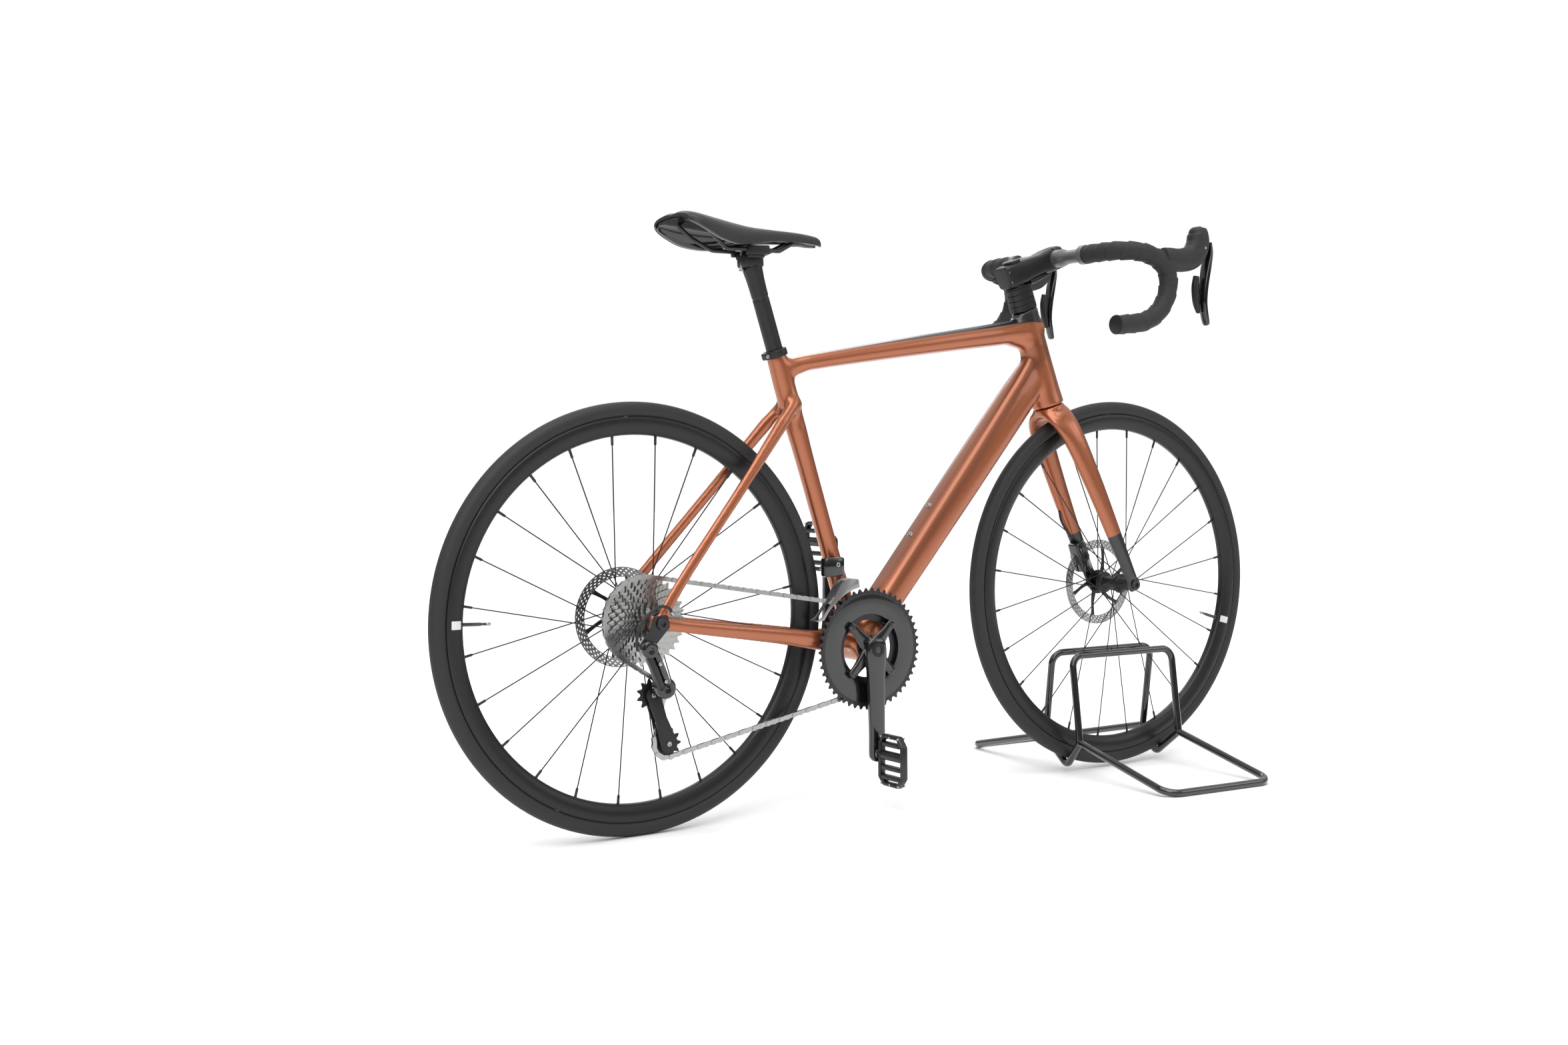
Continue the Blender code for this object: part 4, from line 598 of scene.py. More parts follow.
class Shape:
    """The points and faces of one piece, gathered part by part, each part with its finish."""

    def __init__(self):
        self.points = []
        self.faces = []
        self.finishes = []
        self.materials = []

    def add(self, points, faces, finish):
        start = len(self.points)
        self.points += [Vector(point) for point in points]
        self.faces += [tuple(corner + start for corner in face) for face in faces]
        material = finish() if callable(finish) else finish
        if material not in self.materials:
            self.materials.append(material)
        self.finishes += [self.materials.index(material)] * len(faces)
        return self

    def loft(self, stations, finish, sides=32, power=2.0, steps=6):
        return self.add(*skin(tube_rings(stations, sides, power, steps)), finish)

    def turned(self, profile, finish, centre, segments=64, place=None):
        """A closed profile of (radius, distance towards the drive side) turned round an axle."""
        place = place or across_axle(centre)
        rings = []
        for i in range(segments):
            c, s = math.cos(2 * math.pi * i / segments), math.sin(2 * math.pi * i / segments)
            rings.append([place @ Vector((r * c, r * s, z)) for r, z in profile])
        return self.add(*skin(rings, closed=True), finish)

    def rod(self, profile, finish, centre=None, segments=32, place=None):
        """Stacked circles along an axle, capped at both ends."""
        place = place or across_axle(centre)
        rings = []
        for r, z in profile:
            angles = [2 * math.pi * i / segments for i in range(segments)]
            rings.append([place @ Vector((r * math.cos(a), r * math.sin(a), z)) for a in angles])
        return self.add(*skin(rings), finish)

    def bolt(self, place, radius, height, finish, hollow=0.5):
        """A round bolt head with a six-sided socket, standing on a place's Z."""
        rings = []
        steps = ((1.0, 0.0, 0), (1.0, 0.75, 0), (0.86, 1.0, 0), (hollow, 1.0, 1), (hollow, 0.35, 1))
        for share, level, hexed in steps:
            ring = []
            for i in range(18):
                angle = 2 * math.pi * i / 18
                flat = math.cos(math.pi / 6) / math.cos(angle % (math.pi / 3) - math.pi / 6)
                shrink = flat if hexed else 1.0
                r = radius * share * shrink
                ring.append(place @ Vector((r * math.cos(angle), r * math.sin(angle), height * level)))
            rings.append(ring)
        return self.add(*skin(rings), finish)

    def tube(self, path, radius, finish, sides=16):
        frames = carried_frames(path)
        rings = [ellipse(p, side, up, radius, radius, sides) for p, (side, up) in zip(path, frames)]
        return self.add(*skin(rings), finish)

    def plate(self, outline, thickness, finish, place):
        half = thickness / 2
        rings = [[place @ Vector((x, y, z)) for x, y in outline] for z in (-half, half)]
        return self.add(*skin(rings), finish)

    def block(self, half_sizes, finish, place, power=5.0, sides=32):
        """A block with rounded corners, its ends drawn in."""
        a, b, c = half_sizes
        edge = min(a, b, c) * 0.35
        levels = ((-c, edge), (-c + edge * 0.3, edge * 0.3), (-c + edge, 0), (c - edge, 0),
                  (c - edge * 0.3, edge * 0.3), (c, edge))
        rings = []
        for z, inset in levels:
            ring = ellipse(Vector((0, 0, z)), Vector((1, 0, 0)), Y_AXIS, a - inset, b - inset, sides, power)
            rings.append([place @ point for point in ring])
        return self.add(*skin(rings), finish)

    def thing(self, name, bevel=0.0, angle=38):
        """A Blender object at the origin, its normals outward, with worked edges."""
        mesh = bpy.data.meshes.new(name)
        mesh.from_pydata(self.points, [], self.faces)
        for material in self.materials:
            mesh.materials.append(material)
        mesh.polygons.foreach_set("material_index", self.finishes)
        work = bmesh.new()
        work.from_mesh(mesh)
        bmesh.ops.recalc_face_normals(work, faces=work.faces)
        work.to_mesh(mesh)
        work.free()
        made = bpy.data.objects.new(name, mesh)
        bpy.context.scene.collection.objects.link(made)
        if bevel:
            step = made.modifiers.new("worked edges", "BEVEL")
            step.width = bevel
            step.segments = 2
            step.limit_method = "ANGLE"
            bake(made)
        smoothed(made, angle)
        return made

    def piece(self, name, body, *nodes, bevel=0.0, angle=38):
        return settle(self.thing(name, bevel, angle), body, *nodes)


def smoothed(made, angle=38):
    made.data.shade_smooth()
    made.data.set_sharp_from_angle(angle=math.radians(angle))
    return made


def bake(made):
    """Applies an object's modifiers by swapping in the evaluated mesh."""
    graph = bpy.context.evaluated_depsgraph_get()
    mesh = bpy.data.meshes.new_from_object(made.evaluated_get(graph))
    made.modifiers.clear()
    old = made.data
    made.data = mesh
    bpy.data.meshes.remove(old)
    mesh.name = made.name
    return made


def settle(made, body, *nodes):
    """Sets a finished piece on its body, in place of the nodes that it stands for."""
    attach(made, body)
    if nodes:
        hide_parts(*nodes)
    return made


def cut(made, *tools, crossing=False):
    """Takes the tools' shapes out of a piece and removes them; crossing for parts that overlap."""
    for tool in tools:
        step = made.modifiers.new("opening", "BOOLEAN")
        step.operation = "DIFFERENCE"
        step.solver = "EXACT"
        step.use_self = crossing
        step.object = tool
    bake(made)
    for tool in tools:
        bpy.data.objects.remove(tool)
    return made


def dress(finish, *nodes):
    """Gives nodes that stay as they are a worked finish."""
    for node in nodes:
        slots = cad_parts[node].material_slots
        for slot in slots:
            slot.material = finish()


# ---------------------------------------------------------------- trees that repeat shapes
class Tree:
    """A geometry node tree under construction, with named inputs."""

    def __init__(self, name, inputs):
        self.tree = bpy.data.node_groups.new(name, "GeometryNodeTree")
        face = self.tree.interface
        face.new_socket("Geometry", in_out="INPUT", socket_type="NodeSocketGeometry")
        for title, kind, default in inputs:
            socket = face.new_socket(title, in_out="INPUT", socket_type=kind)
            if default is not None:
                socket.default_value = default
        face.new_socket("Geometry", in_out="OUTPUT", socket_type="NodeSocketGeometry")
        self.start = self.tree.nodes.new("NodeGroupInput")

    def given(self, title):
        return self.start.outputs[title]

    def node(self, kind, settings, inputs, output=0):
        made = self.tree.nodes.new(kind)
        for key, setting in settings.items():
            setattr(made, key, setting)
        for key, entry in inputs.items():
            if isinstance(entry, bpy.types.NodeSocket):
                self.tree.links.new(entry, made.inputs[key])
            else:
                made.inputs[key].default_value = entry
        return made.outputs[output]

    def maths(self, operation, first, second):
        return self.node("ShaderNodeMath", {"operation": operation}, {0: first, 1: second})

    def end(self, instances):
        """Real, welded geometry with its material, as the export needs."""
        real = self.node("GeometryNodeRealizeInstances", {}, {"Geometry": instances})
        welded = self.node("GeometryNodeMergeByDistance", {}, {"Geometry": real, "Distance": 1e-6})
        coat = {"Geometry": welded, "Material": self.given("Finish")}
        finished = self.node("GeometryNodeSetMaterial", {}, coat)
        self.tree.links.new(finished, self.tree.nodes.new("NodeGroupOutput").inputs[0])
        return self.tree


def round_tree():
    """Copies of the object's own mesh, turned step by step round an axle along Y."""
    tree = bpy.data.node_groups.get("Copies round an axle")
    if tree:
        return tree
    made = Tree("Copies round an axle", (
        ("Count", "NodeSocketInt", 6), ("First turn", "NodeSocketFloat", 0.0),
        ("Axle", "NodeSocketVector", None), ("Finish", "NodeSocketMaterial", None)))
    dots = made.node("GeometryNodePoints", {}, {"Count": made.given("Count")})
    index = made.node("GeometryNodeInputIndex", {}, {})
    step = made.maths("DIVIDE", 2 * math.pi, made.given("Count"))
    turn = made.maths("ADD", made.maths("MULTIPLY", index, step), made.given("First turn"))
    angles = made.node("ShaderNodeCombineXYZ", {}, {"Y": turn})
    ring = made.node("GeometryNodeInstanceOnPoints", {}, {
        "Points": dots, "Instance": made.given("Geometry"), "Rotation": angles})
    moved = made.node("GeometryNodeTransform", {}, {"Geometry": ring, "Translation": made.given("Axle")})
    return made.end(moved)


def path_tree():
    """Two kinds of link in turn along the object's own closed path."""
    tree = bpy.data.node_groups.get("Links along a path")
    if tree:
        return tree
    made = Tree("Links along a path", (
        ("Count", "NodeSocketInt", 100), ("Outer link", "NodeSocketObject", None),
        ("Inner link", "NodeSocketObject", None), ("Finish", "NodeSocketMaterial", None)))
    curve = made.node("GeometryNodeMeshToCurve", {}, {"Mesh": made.given("Geometry")})
    dots = made.node("GeometryNodeResampleCurve", {}, {"Curve": curve, "Count": made.given("Count")})
    tangent = made.node("GeometryNodeInputTangent", {}, {})
    turn = made.node("FunctionNodeAxesToRotation", {"primary_axis": "X", "secondary_axis": "Y"},
                     {"Primary Axis": tangent, "Secondary Axis": (0.0, 1.0, 0.0)})
    odd = made.maths("MODULO", made.node("GeometryNodeInputIndex", {}, {}), 2.0)
    joined = made.tree.nodes.new("GeometryNodeJoinGeometry")
    for title, chosen in (("Outer link", odd), ("Inner link", made.maths("SUBTRACT", 1.0, odd))):
        link = made.node("GeometryNodeObjectInfo", {}, {"Object": made.given(title)}, "Geometry")
        copies = made.node("GeometryNodeInstanceOnPoints", {}, {
            "Points": dots, "Selection": chosen, "Instance": link, "Rotation": turn})
        made.tree.links.new(copies, joined.inputs[0])
    return made.end(joined.outputs[0])


def grow(thing, tree, **inputs):
    """Runs a tree on an object with its named inputs set, and keeps the plain mesh."""
    step = thing.modifiers.new(tree.name, "NODES")
    step.node_group = tree
    for item in tree.interface.items_tree:
        key = item.name.lower().replace(" ", "_")
        if item.in_out == "INPUT" and key in inputs:
            step[item.identifier] = inputs[key]
    bake(thing)
    return smoothed(thing)


def ring_of(shape, name, axle, count, first_turn=0.0):
    """Repeats a shape, drawn about the origin, round an axle."""
    template = shape.thing(name)
    finish = template.data.materials[0]
    grow(template, round_tree(), count=count, first_turn=first_turn, axle=tuple(axle), finish=finish)
    if not template.data.materials:
        template.data.materials.append(finish)
    return template


def join(*things):
    """Makes one mesh of several things, keeping each face's finish."""
    shape = Shape()
    for thing in things:
        mesh = thing.data
        points = [vertex.co.copy() for vertex in mesh.vertices]
        for index, material in enumerate(mesh.materials):
            faces = [tuple(face.vertices) for face in mesh.polygons if face.material_index == index]
            if faces:
                used = sorted({corner for face in faces for corner in face})
                renumbered = {old: new for new, old in enumerate(used)}
                faces = [tuple(renumbered[corner] for corner in face) for face in faces]
                shape.add([points[old] for old in used], faces, material)
        bpy.data.objects.remove(thing)
    return shape


# ---------------------------------------------------------------- frame
FRAME_LOFTS = (
    # half widths sideways and half heights of the head, seat, down and top tubes
    (((steer(0.3653), 0.0270, 0.0295), (steer(0.405), 0.0235, 0.0285), (steer(0.500), 0.0205, 0.0270),
      (steer(0.544), 0.0200, 0.0265)), 2.2),
    (((seat(0.268), 0.0250, 0.0180), (seat(0.330), 0.0190, 0.0165), (seat(0.440), 0.0155, 0.0150),
      (seat(0.585), 0.0155, 0.0155), (seat(0.690), 0.0175, 0.0190), (seat(0.759), 0.0168, 0.0168)), 2.0),
    (((Vector((-0.086, 0, 0.275)), 0.0310, 0.0250), (Vector((-0.010, 0, 0.363)), 0.0300, 0.0270),
      (Vector((0.150, 0, 0.549)), 0.0285, 0.0300), (Vector((0.262, 0, 0.679)), 0.0245, 0.0320),
      (Vector((0.322, 0, 0.749)), 0.0175, 0.0330)), 3.0),
    (((Vector((-0.238, 0, 0.7310)), 0.0165, 0.0150), (Vector((-0.180, 0, 0.7440)), 0.0180, 0.0132),
      (Vector((0.000, 0, 0.7710)), 0.0200, 0.0160), (Vector((0.200, 0, 0.7985)), 0.0215, 0.0195),
      (Vector((0.300, 0, 0.8120)), 0.0200, 0.0225), (Vector((0.322, 0, 0.8145)), 0.0190, 0.0225)), 2.4),
)
STAY_LOFTS = (
    (((-0.108, 0.0275, 0.283), 0.0095, 0.0170), ((-0.175, 0.0290, 0.286), 0.0080, 0.0165),
     ((-0.270, 0.0460, 0.302), 0.0078, 0.0135), ((-0.400, 0.0660, 0.322), 0.0070, 0.0110),
     ((-0.470, 0.0755, 0.333), 0.0046, 0.0100), ((-0.519, 0.0755, 0.341), 0.0044, 0.0120)),
    (((-0.205, 0.0100, 0.6830), 0.0100, 0.0130), ((-0.232, 0.0215, 0.6580), 0.0078, 0.0115),
     ((-0.330, 0.0440, 0.5460), 0.0062, 0.0085), ((-0.440, 0.0650, 0.4220), 0.0058, 0.0085),
     ((-0.485, 0.0755, 0.3680), 0.0044, 0.0090), ((-0.497, 0.0755, 0.3470), 0.0044, 0.0095)),
)
GUSSETS = (
    # fill the corners under the top tube at the seat tube and at the head tube
    ((seat(0.700), 0.0140, 0.0080), (Vector((-0.222, 0, 0.722)), 0.0145, 0.0100),
     (Vector((-0.180, 0, 0.7380)), 0.0150, 0.0070)),
    ((Vector((0.235, 0, 0.7955)), 0.0175, 0.0100), (Vector((0.290, 0, 0.7870)), 0.0180, 0.0140),
     (Vector((0.318, 0, 0.7620)), 0.0170, 0.0120)),
)
BLENDS = (
    # where tubes meet: the joint's middle and how far its fillet reaches
    (steer(0.510) - STEER_AHEAD * 0.03, 0.052), (steer(0.440) - STEER_AHEAD * 0.03, 0.055),
    (seat(0.733), 0.055), (seat(0.680), 0.052), (CRANK_AXLE + Vector((0.02, 0, 0.02)), 0.070),
    (CRANK_AXLE + Vector((-0.03, 0, 0.01)), 0.055),
)


def blended(made, voxel, spots, rounds):
    """Fuses a piece's crossing tubes into one skin and melts it near the joints."""
    skin_step = made.modifiers.new("one skin", "REMESH")
    skin_step.mode = "VOXEL"
    skin_step.voxel_size = voxel
    skin_step.use_smooth_shade = True
    bake(made)
    group = made.vertex_groups.new(name="joints")
    for vertex in made.data.vertices:
        weight = 0.0
        for spot, reach in spots:
            away = (vertex.co - spot).length / reach
            weight = max(weight, 1.0 - away * away)
        if weight > 0:
            group.add([vertex.index], min(1.0, weight * 1.6), "REPLACE")
    melt = made.modifiers.new("fillets", "SMOOTH")
    melt.vertex_group = "joints"
    melt.factor = 0.9
    melt.iterations = rounds
    even = made.modifiers.new("even", "SMOOTH")
    even.factor = 0.5
    even.iterations = 4
    bake(made)
    made.vertex_groups.clear()
    return smoothed(made, 60)


def build_frame():
    shape = Shape()
    for stations, power in FRAME_LOFTS:
        shape.loft(stations, copper_paint, 40, power, 6)
    shape.rod([(0.0235, -0.0425), (0.0235, 0.0425)], copper_paint, CRANK_AXLE, 64)
    for _, side in SIDES:
        for stay in STAY_LOFTS:
            stations = [(Vector((x, side * y, z)), width, height) for (x, y, z), width, height in stay]
            shape.loft(stations, copper_paint, 24, 2.3, 6)
        end = REAR_AXLE + Y_AXIS * side * 0.0755
        shape.rod([(0.0130, -0.0043), (0.0130, 0.0043)], copper_paint, end, 40)
    for stations in GUSSETS:
        shape.loft(stations, copper_paint, 24, 2.0, 6)
    shell = blended(shape.thing("frame_shell"), sizes().fillet, BLENDS, 45)
    bores = Shape()
    bores.rod([(0.0139, 0.530), (0.0139, 0.780)], satin_black, segments=40,
              place=placed(seat(0.530) - SEAT_UP * 0.530, SEAT_UP))
    bores.rod([(0.0176, 0.350), (0.0176, 0.560)], satin_black, segments=40, place=UP_STEERER)
    bores.rod([(0.0182, -0.06), (0.0182, 0.06)], satin_black, CRANK_AXLE, 40)
    bores.rod([(0.0063, -0.10), (0.0063, 0.10)], satin_black, REAR_AXLE, 24)
    cut(shell, bores.thing("frame_bores"))
    smoothed(shell, 50)
    settle(shell, "frame", "head_tube", "seat_tube", "down_tube", "top_tube", "bottom_bracket_shell",
           "chainstay_right", "chainstay_left", "seatstay_right", "seatstay_left")

    fittings = Shape()
    for distance in (0.0935, 0.1575):
        base = DOWN_TUBE_LOW + DOWN_TUBE_ALONG * distance + DOWN_TUBE_UP * (0.02615 + 0.0119 * distance)
        place = placed(base, DOWN_TUBE_UP)
        fittings.turned([(0.0026, 0), (0.0055, 0), (0.0055, 0.0012), (0.0049, 0.0017), (0.0026, 0.0017)],
                        silver, base, 32, place)
        fittings.bolt(place @ Matrix.Translation((0, 0, 0.0016)), 0.0038, 0.0032, silver)
    for side, y in ((-1, 0.0425), (1, 0.0425)):
        rim = CRANK_AXLE + Y_AXIS * side * y
        low = 0.0 if side < 0 else -0.0045
        fittings.turned([(0.0130, low), (0.0225, low), (0.0225, low + 0.0045), (0.0130, low + 0.0045)],
                        dark_metal, rim, 48)
    fittings.piece("bottle_bolts_and_bearing_cups", "frame", "bottle_bolt_lower", "bottle_bolt_upper",
                   bevel=0.0003)

    collar = Shape()
    around = placed(seat(0.759), SEAT_UP)
    collar.turned([(0.0150, 0.0015), (0.0150, 0.0052), (0.0182, 0.0052), (0.0194, 0.0038), (0.0194, -0.0056),
                   (0.0186, -0.0066), (0.0174, -0.0066), (0.0174, 0.0012)], satin_black, None, 64, around)
    lug = around @ Matrix.Translation((-0.0195, 0, -0.001))
    collar.block((0.0045, 0.0075, 0.0055), satin_black, lug)
    collar.bolt(lug @ Matrix.Rotation(math.pi / 2, 4, "X") @ Matrix.Translation((-0.001, 0, 0.0070)), 0.0034,
                0.0022, silver)
    collar.piece("seat_collar", "frame", "seatpost_collar", bevel=0.0004)

    axle = Shape()
    axle.rod([(0.0060, -0.0805), (0.0060, 0.0842), (0.0098, 0.0842), (0.0098, 0.0868), (0.0080, 0.0880),
              (0.0036, 0.0880), (0.0034, 0.0850)], dark_metal, REAR_AXLE, 40)
    axle.piece("rear_axle", "frame", "rear_thru_axle", bevel=0.0003)
    dress(dark_metal, "derailleur_hanger")


# ---------------------------------------------------------------- seat
SADDLE_STATIONS = (
    (-0.1570, 0.0110, 0.9440, 0.0100), (-0.1610, 0.0170, 0.9485, 0.0140), (-0.1700, 0.0200, 0.9515, 0.0165),
    (-0.2000, 0.0215, 0.9550, 0.0180), (-0.2500, 0.0260, 0.9570, 0.0210), (-0.2950, 0.0390, 0.9590, 0.0280),
    (-0.3350, 0.0560, 0.9640, 0.0400), (-0.3750, 0.0680, 0.9700, 0.0410), (-0.4050, 0.0710, 0.9740, 0.0320),
    (-0.4220, 0.0660, 0.9748, 0.0235), (-0.4310, 0.0560, 0.9710, 0.0140),
)


def saddle_rings(inset, thickness, first, last):
    rings = []
    for x, half_width, top, drop in curved(SADDLE_STATIONS, 6)[first:last]:
        ring = []
        for wall in (inset, inset + thickness):
            arc = []
            for i in range(33):
                angle = math.pi * i / 32
                side = math.cos(angle)
                rise = max(0.0, math.sin(angle)) ** 0.7
                groove = 0.0022 * math.exp(-(side / 0.16) ** 2) * (0.0 if wall > inset else 1.0)
                level = top - drop + (drop - wall) * rise - groove
                arc.append(Vector((x, (half_width - wall) * side, level)))
            ring.append(arc)
        rings.append(ring[0] + ring[1][::-1])
    return rings


def rail_path():
    half = [(-0.3960, 0.0380, 0.9575), (-0.3760, 0.0340, 0.9400), (-0.3450, 0.0220, 0.9210),
            (-0.2450, 0.0220, 0.9210), (-0.2130, 0.0120, 0.9365), (-0.1900, 0.0070, 0.9380)]
    left = rounded(half, 0.014, 7)
    return left + mirrored(left)[::-1]


def build_seat():
    cover = Shape().add(*skin(saddle_rings(0.0, 0.0055, 0, None)), saddle_skin)
    made = cover.thing("saddle_cover_skin", angle=55)
    settle(made, "seatpost", "saddle_cover")
    base = Shape().add(*skin(saddle_rings(0.0062, 0.0022, 2, -3)), gloss_black)
    base.piece("saddle_shell", "seatpost", "saddle_base", bevel=0.0003)
    rails = Shape().tube(rail_path(), 0.0035, dark_metal, 20)
    rails.piece("saddle_rail_pair", "seatpost", "saddle_rails")

    post = Shape()
    low = [(seat(z), 0.0136, 0.0136) for z in (0.640, 0.740, 0.800, 0.846)]
    high = [(seat(0.848), 0.0138, 0.0138), (seat(0.860), 0.0141, 0.0140), (seat(0.876), 0.0150, 0.0146),
            (seat(0.8895), 0.0160, 0.0160), (seat(0.897), 0.0160, 0.0162)]
    post.loft(low, satin_black, 48)
    post.loft([(seat(0.8455), 0.0128, 0.0128), (seat(0.8485), 0.0128, 0.0128)], dark_metal, 48)
    post.loft(high, satin_black, 48)
    post.piece("seat_post", "seatpost", "seatpost", bevel=0.0004)

    clamp = Shape()
    x = seat(0.905).x
    tilt = Matrix.Rotation(math.radians(-3), 4, "Y")
    cradle = Matrix.Translation((x, 0, 0.9045)) @ tilt
    clamp.block((0.0190, 0.0150, 0.0105), satin_black, cradle)
    for side in (-1, 1):
        cheek = Matrix.Translation((x, side * 0.0245, 0.9205)) @ tilt
        clamp.block((0.0205, 0.0048, 0.0072), satin_black, cheek)
        clamp.block((0.0150, 0.0100, 0.0050), satin_black,
                    Matrix.Translation((x, side * 0.0140, 0.9135)) @ tilt)
    for ahead in (-1, 1):
        barrel = Vector((x + ahead * 0.0165, 0, 0.9240))
        clamp.rod([(0.0046, -0.0150), (0.0046, 0.0150)], silver, barrel, 24)
        clamp.rod([(0.0024, -0.0300), (0.0024, 0.0020)], silver, segments=16, place=placed(barrel, Z_AXIS))
        clamp.bolt(placed(barrel - Z_AXIS * 0.0330, -Z_AXIS), 0.0042, 0.0030, silver)
    clamp.piece("rail_clamp", "seatpost", "saddle_clamp", bevel=0.0003)


# ---------------------------------------------------------------- wheels
def tooth_template(teeth, inner_radius, half_thick, finish, spare=0.0):
    """One tooth's share of a toothed ring, drawn about the origin, open at its two flanks."""
    pitch = pitch_radius(teeth)
    step = 2 * math.pi / teeth
    rings = []
    for share, reach in ((-0.5, -0.0040), (-0.34, -0.0034), (-0.20, -0.0004), (-0.08, 0.0026), (0.08, 0.0026),
                         (0.20, -0.0004), (0.34, -0.0034), (0.5, -0.0040)):
        angle = share * step
        tip = pitch + reach - spare
        slim = 0.55 if reach > 0.001 else 1.0
        root = pitch - 0.0048
        profile = ((inner_radius, -1.0), (inner_radius, 1.0), (root, 1.0), (tip, slim), (tip, -slim),
                   (root, -1.0))
        rings.append([Vector((math.cos(angle) * r, half_thick * y, math.sin(angle) * r)) for r, y in profile])
    return Shape().add(*skin(rings, caps=False), finish)


def tyre_profile():
    centre = WHEEL_RADIUS - sizes().tyre_width / 2
    radius = sizes().tyre_width / 2
    outer = []
    for i in range(41):
        angle = math.radians(-135 + 270 * i / 40)
        crown = 1.0 + 0.012 * math.exp(-(angle / 0.30) ** 2)
        reach = radius * min(crown, 0.01349 / radius)
        outer.append((centre + reach * math.cos(angle), reach * math.sin(angle)))
    inner = [(centre + 0.0108 * math.cos(a), 0.0108 * math.sin(a))
             for a in (math.radians(133 - 266 * i / 14) for i in range(15))]
    return outer + inner


def rim_profile():
    half = [(0.3108, 0.0094), (0.3152, 0.0098), (0.3160, 0.0104), (0.3154, 0.0114), (0.3120, 0.0121),
            (0.3080, 0.0124), (0.3030, 0.0120), (0.2970, 0.0104), (0.2915, 0.0078), (0.2885, 0.0054),
            (0.2875, 0.0026)]
    return half + [(r, -w) for r, w in reversed(half)]


def build_spokes(word, axle, flanges):
    """Four laced spokes with nipples, repeated round the hub."""
    template = Shape()
    count = sizes().spokes
    for i in range(4):
        y, flange_radius = flanges[i % 2]
        turn = 2 * math.pi * (i + 0.5) / count
        leading = 1 if i // 2 else -1
        at_hub = turn + leading * math.radians(60)
        hub_y = y + leading * 0.0008
        start = Vector((math.cos(at_hub) * (flange_radius - 0.0022), -hub_y,
                        math.sin(at_hub) * (flange_radius - 0.0022)))
        end = Vector((math.cos(turn) * 0.2890, 0, math.sin(turn) * 0.2890))
        along = (end - start).normalized()
        side = along.cross(Y_AXIS).normalized()
        up = along.cross(side)
        rows = [(0.0, 0.0011), (0.02, 0.0010), (0.90, 0.0010), (1.0, 0.0010)]
        length = (end - start).length
        rings = [ellipse(start + along * length * t, side, up, r, r * 0.85, 8) for t, r in rows]
        template.add(*skin(rings), satin_black)
        nipple = [(length - 0.0155, 0.0015), (length - 0.0140, 0.0021), (length - 0.0040, 0.0021),
                  (length - 0.0010, 0.0026)]
        template.add(*skin([ellipse(start + along * t, side, up, r, r, 8) for t, r in nipple]), gloss_black)
    return ring_of(template, word + "_spoke_ring", axle, count // 4)


def hub_shape(axle, flanges, low, high):
    shape = Shape()
    barrel = 0.0118
    profile = [(0.0064, low), (0.0064, high), (0.0092, high), (0.0103, high - 0.0012), (0.0103, high - 0.005),
               (barrel, high - 0.0062)]
    for distance, radius in reversed(flanges):
        profile += [(barrel + 0.0012, distance + 0.0050), (radius - 0.0030, distance + 0.0020),
                    (radius, distance + 0.0014), (radius, distance - 0.0014),
                    (radius - 0.0030, distance - 0.0020), (barrel + 0.0012, distance - 0.0050)]
    profile += [(barrel, low + 0.0062), (0.0103, low + 0.005), (0.0103, low + 0.0012), (0.0092, low)]
    return shape.turned(profile, satin_black, axle, 48)


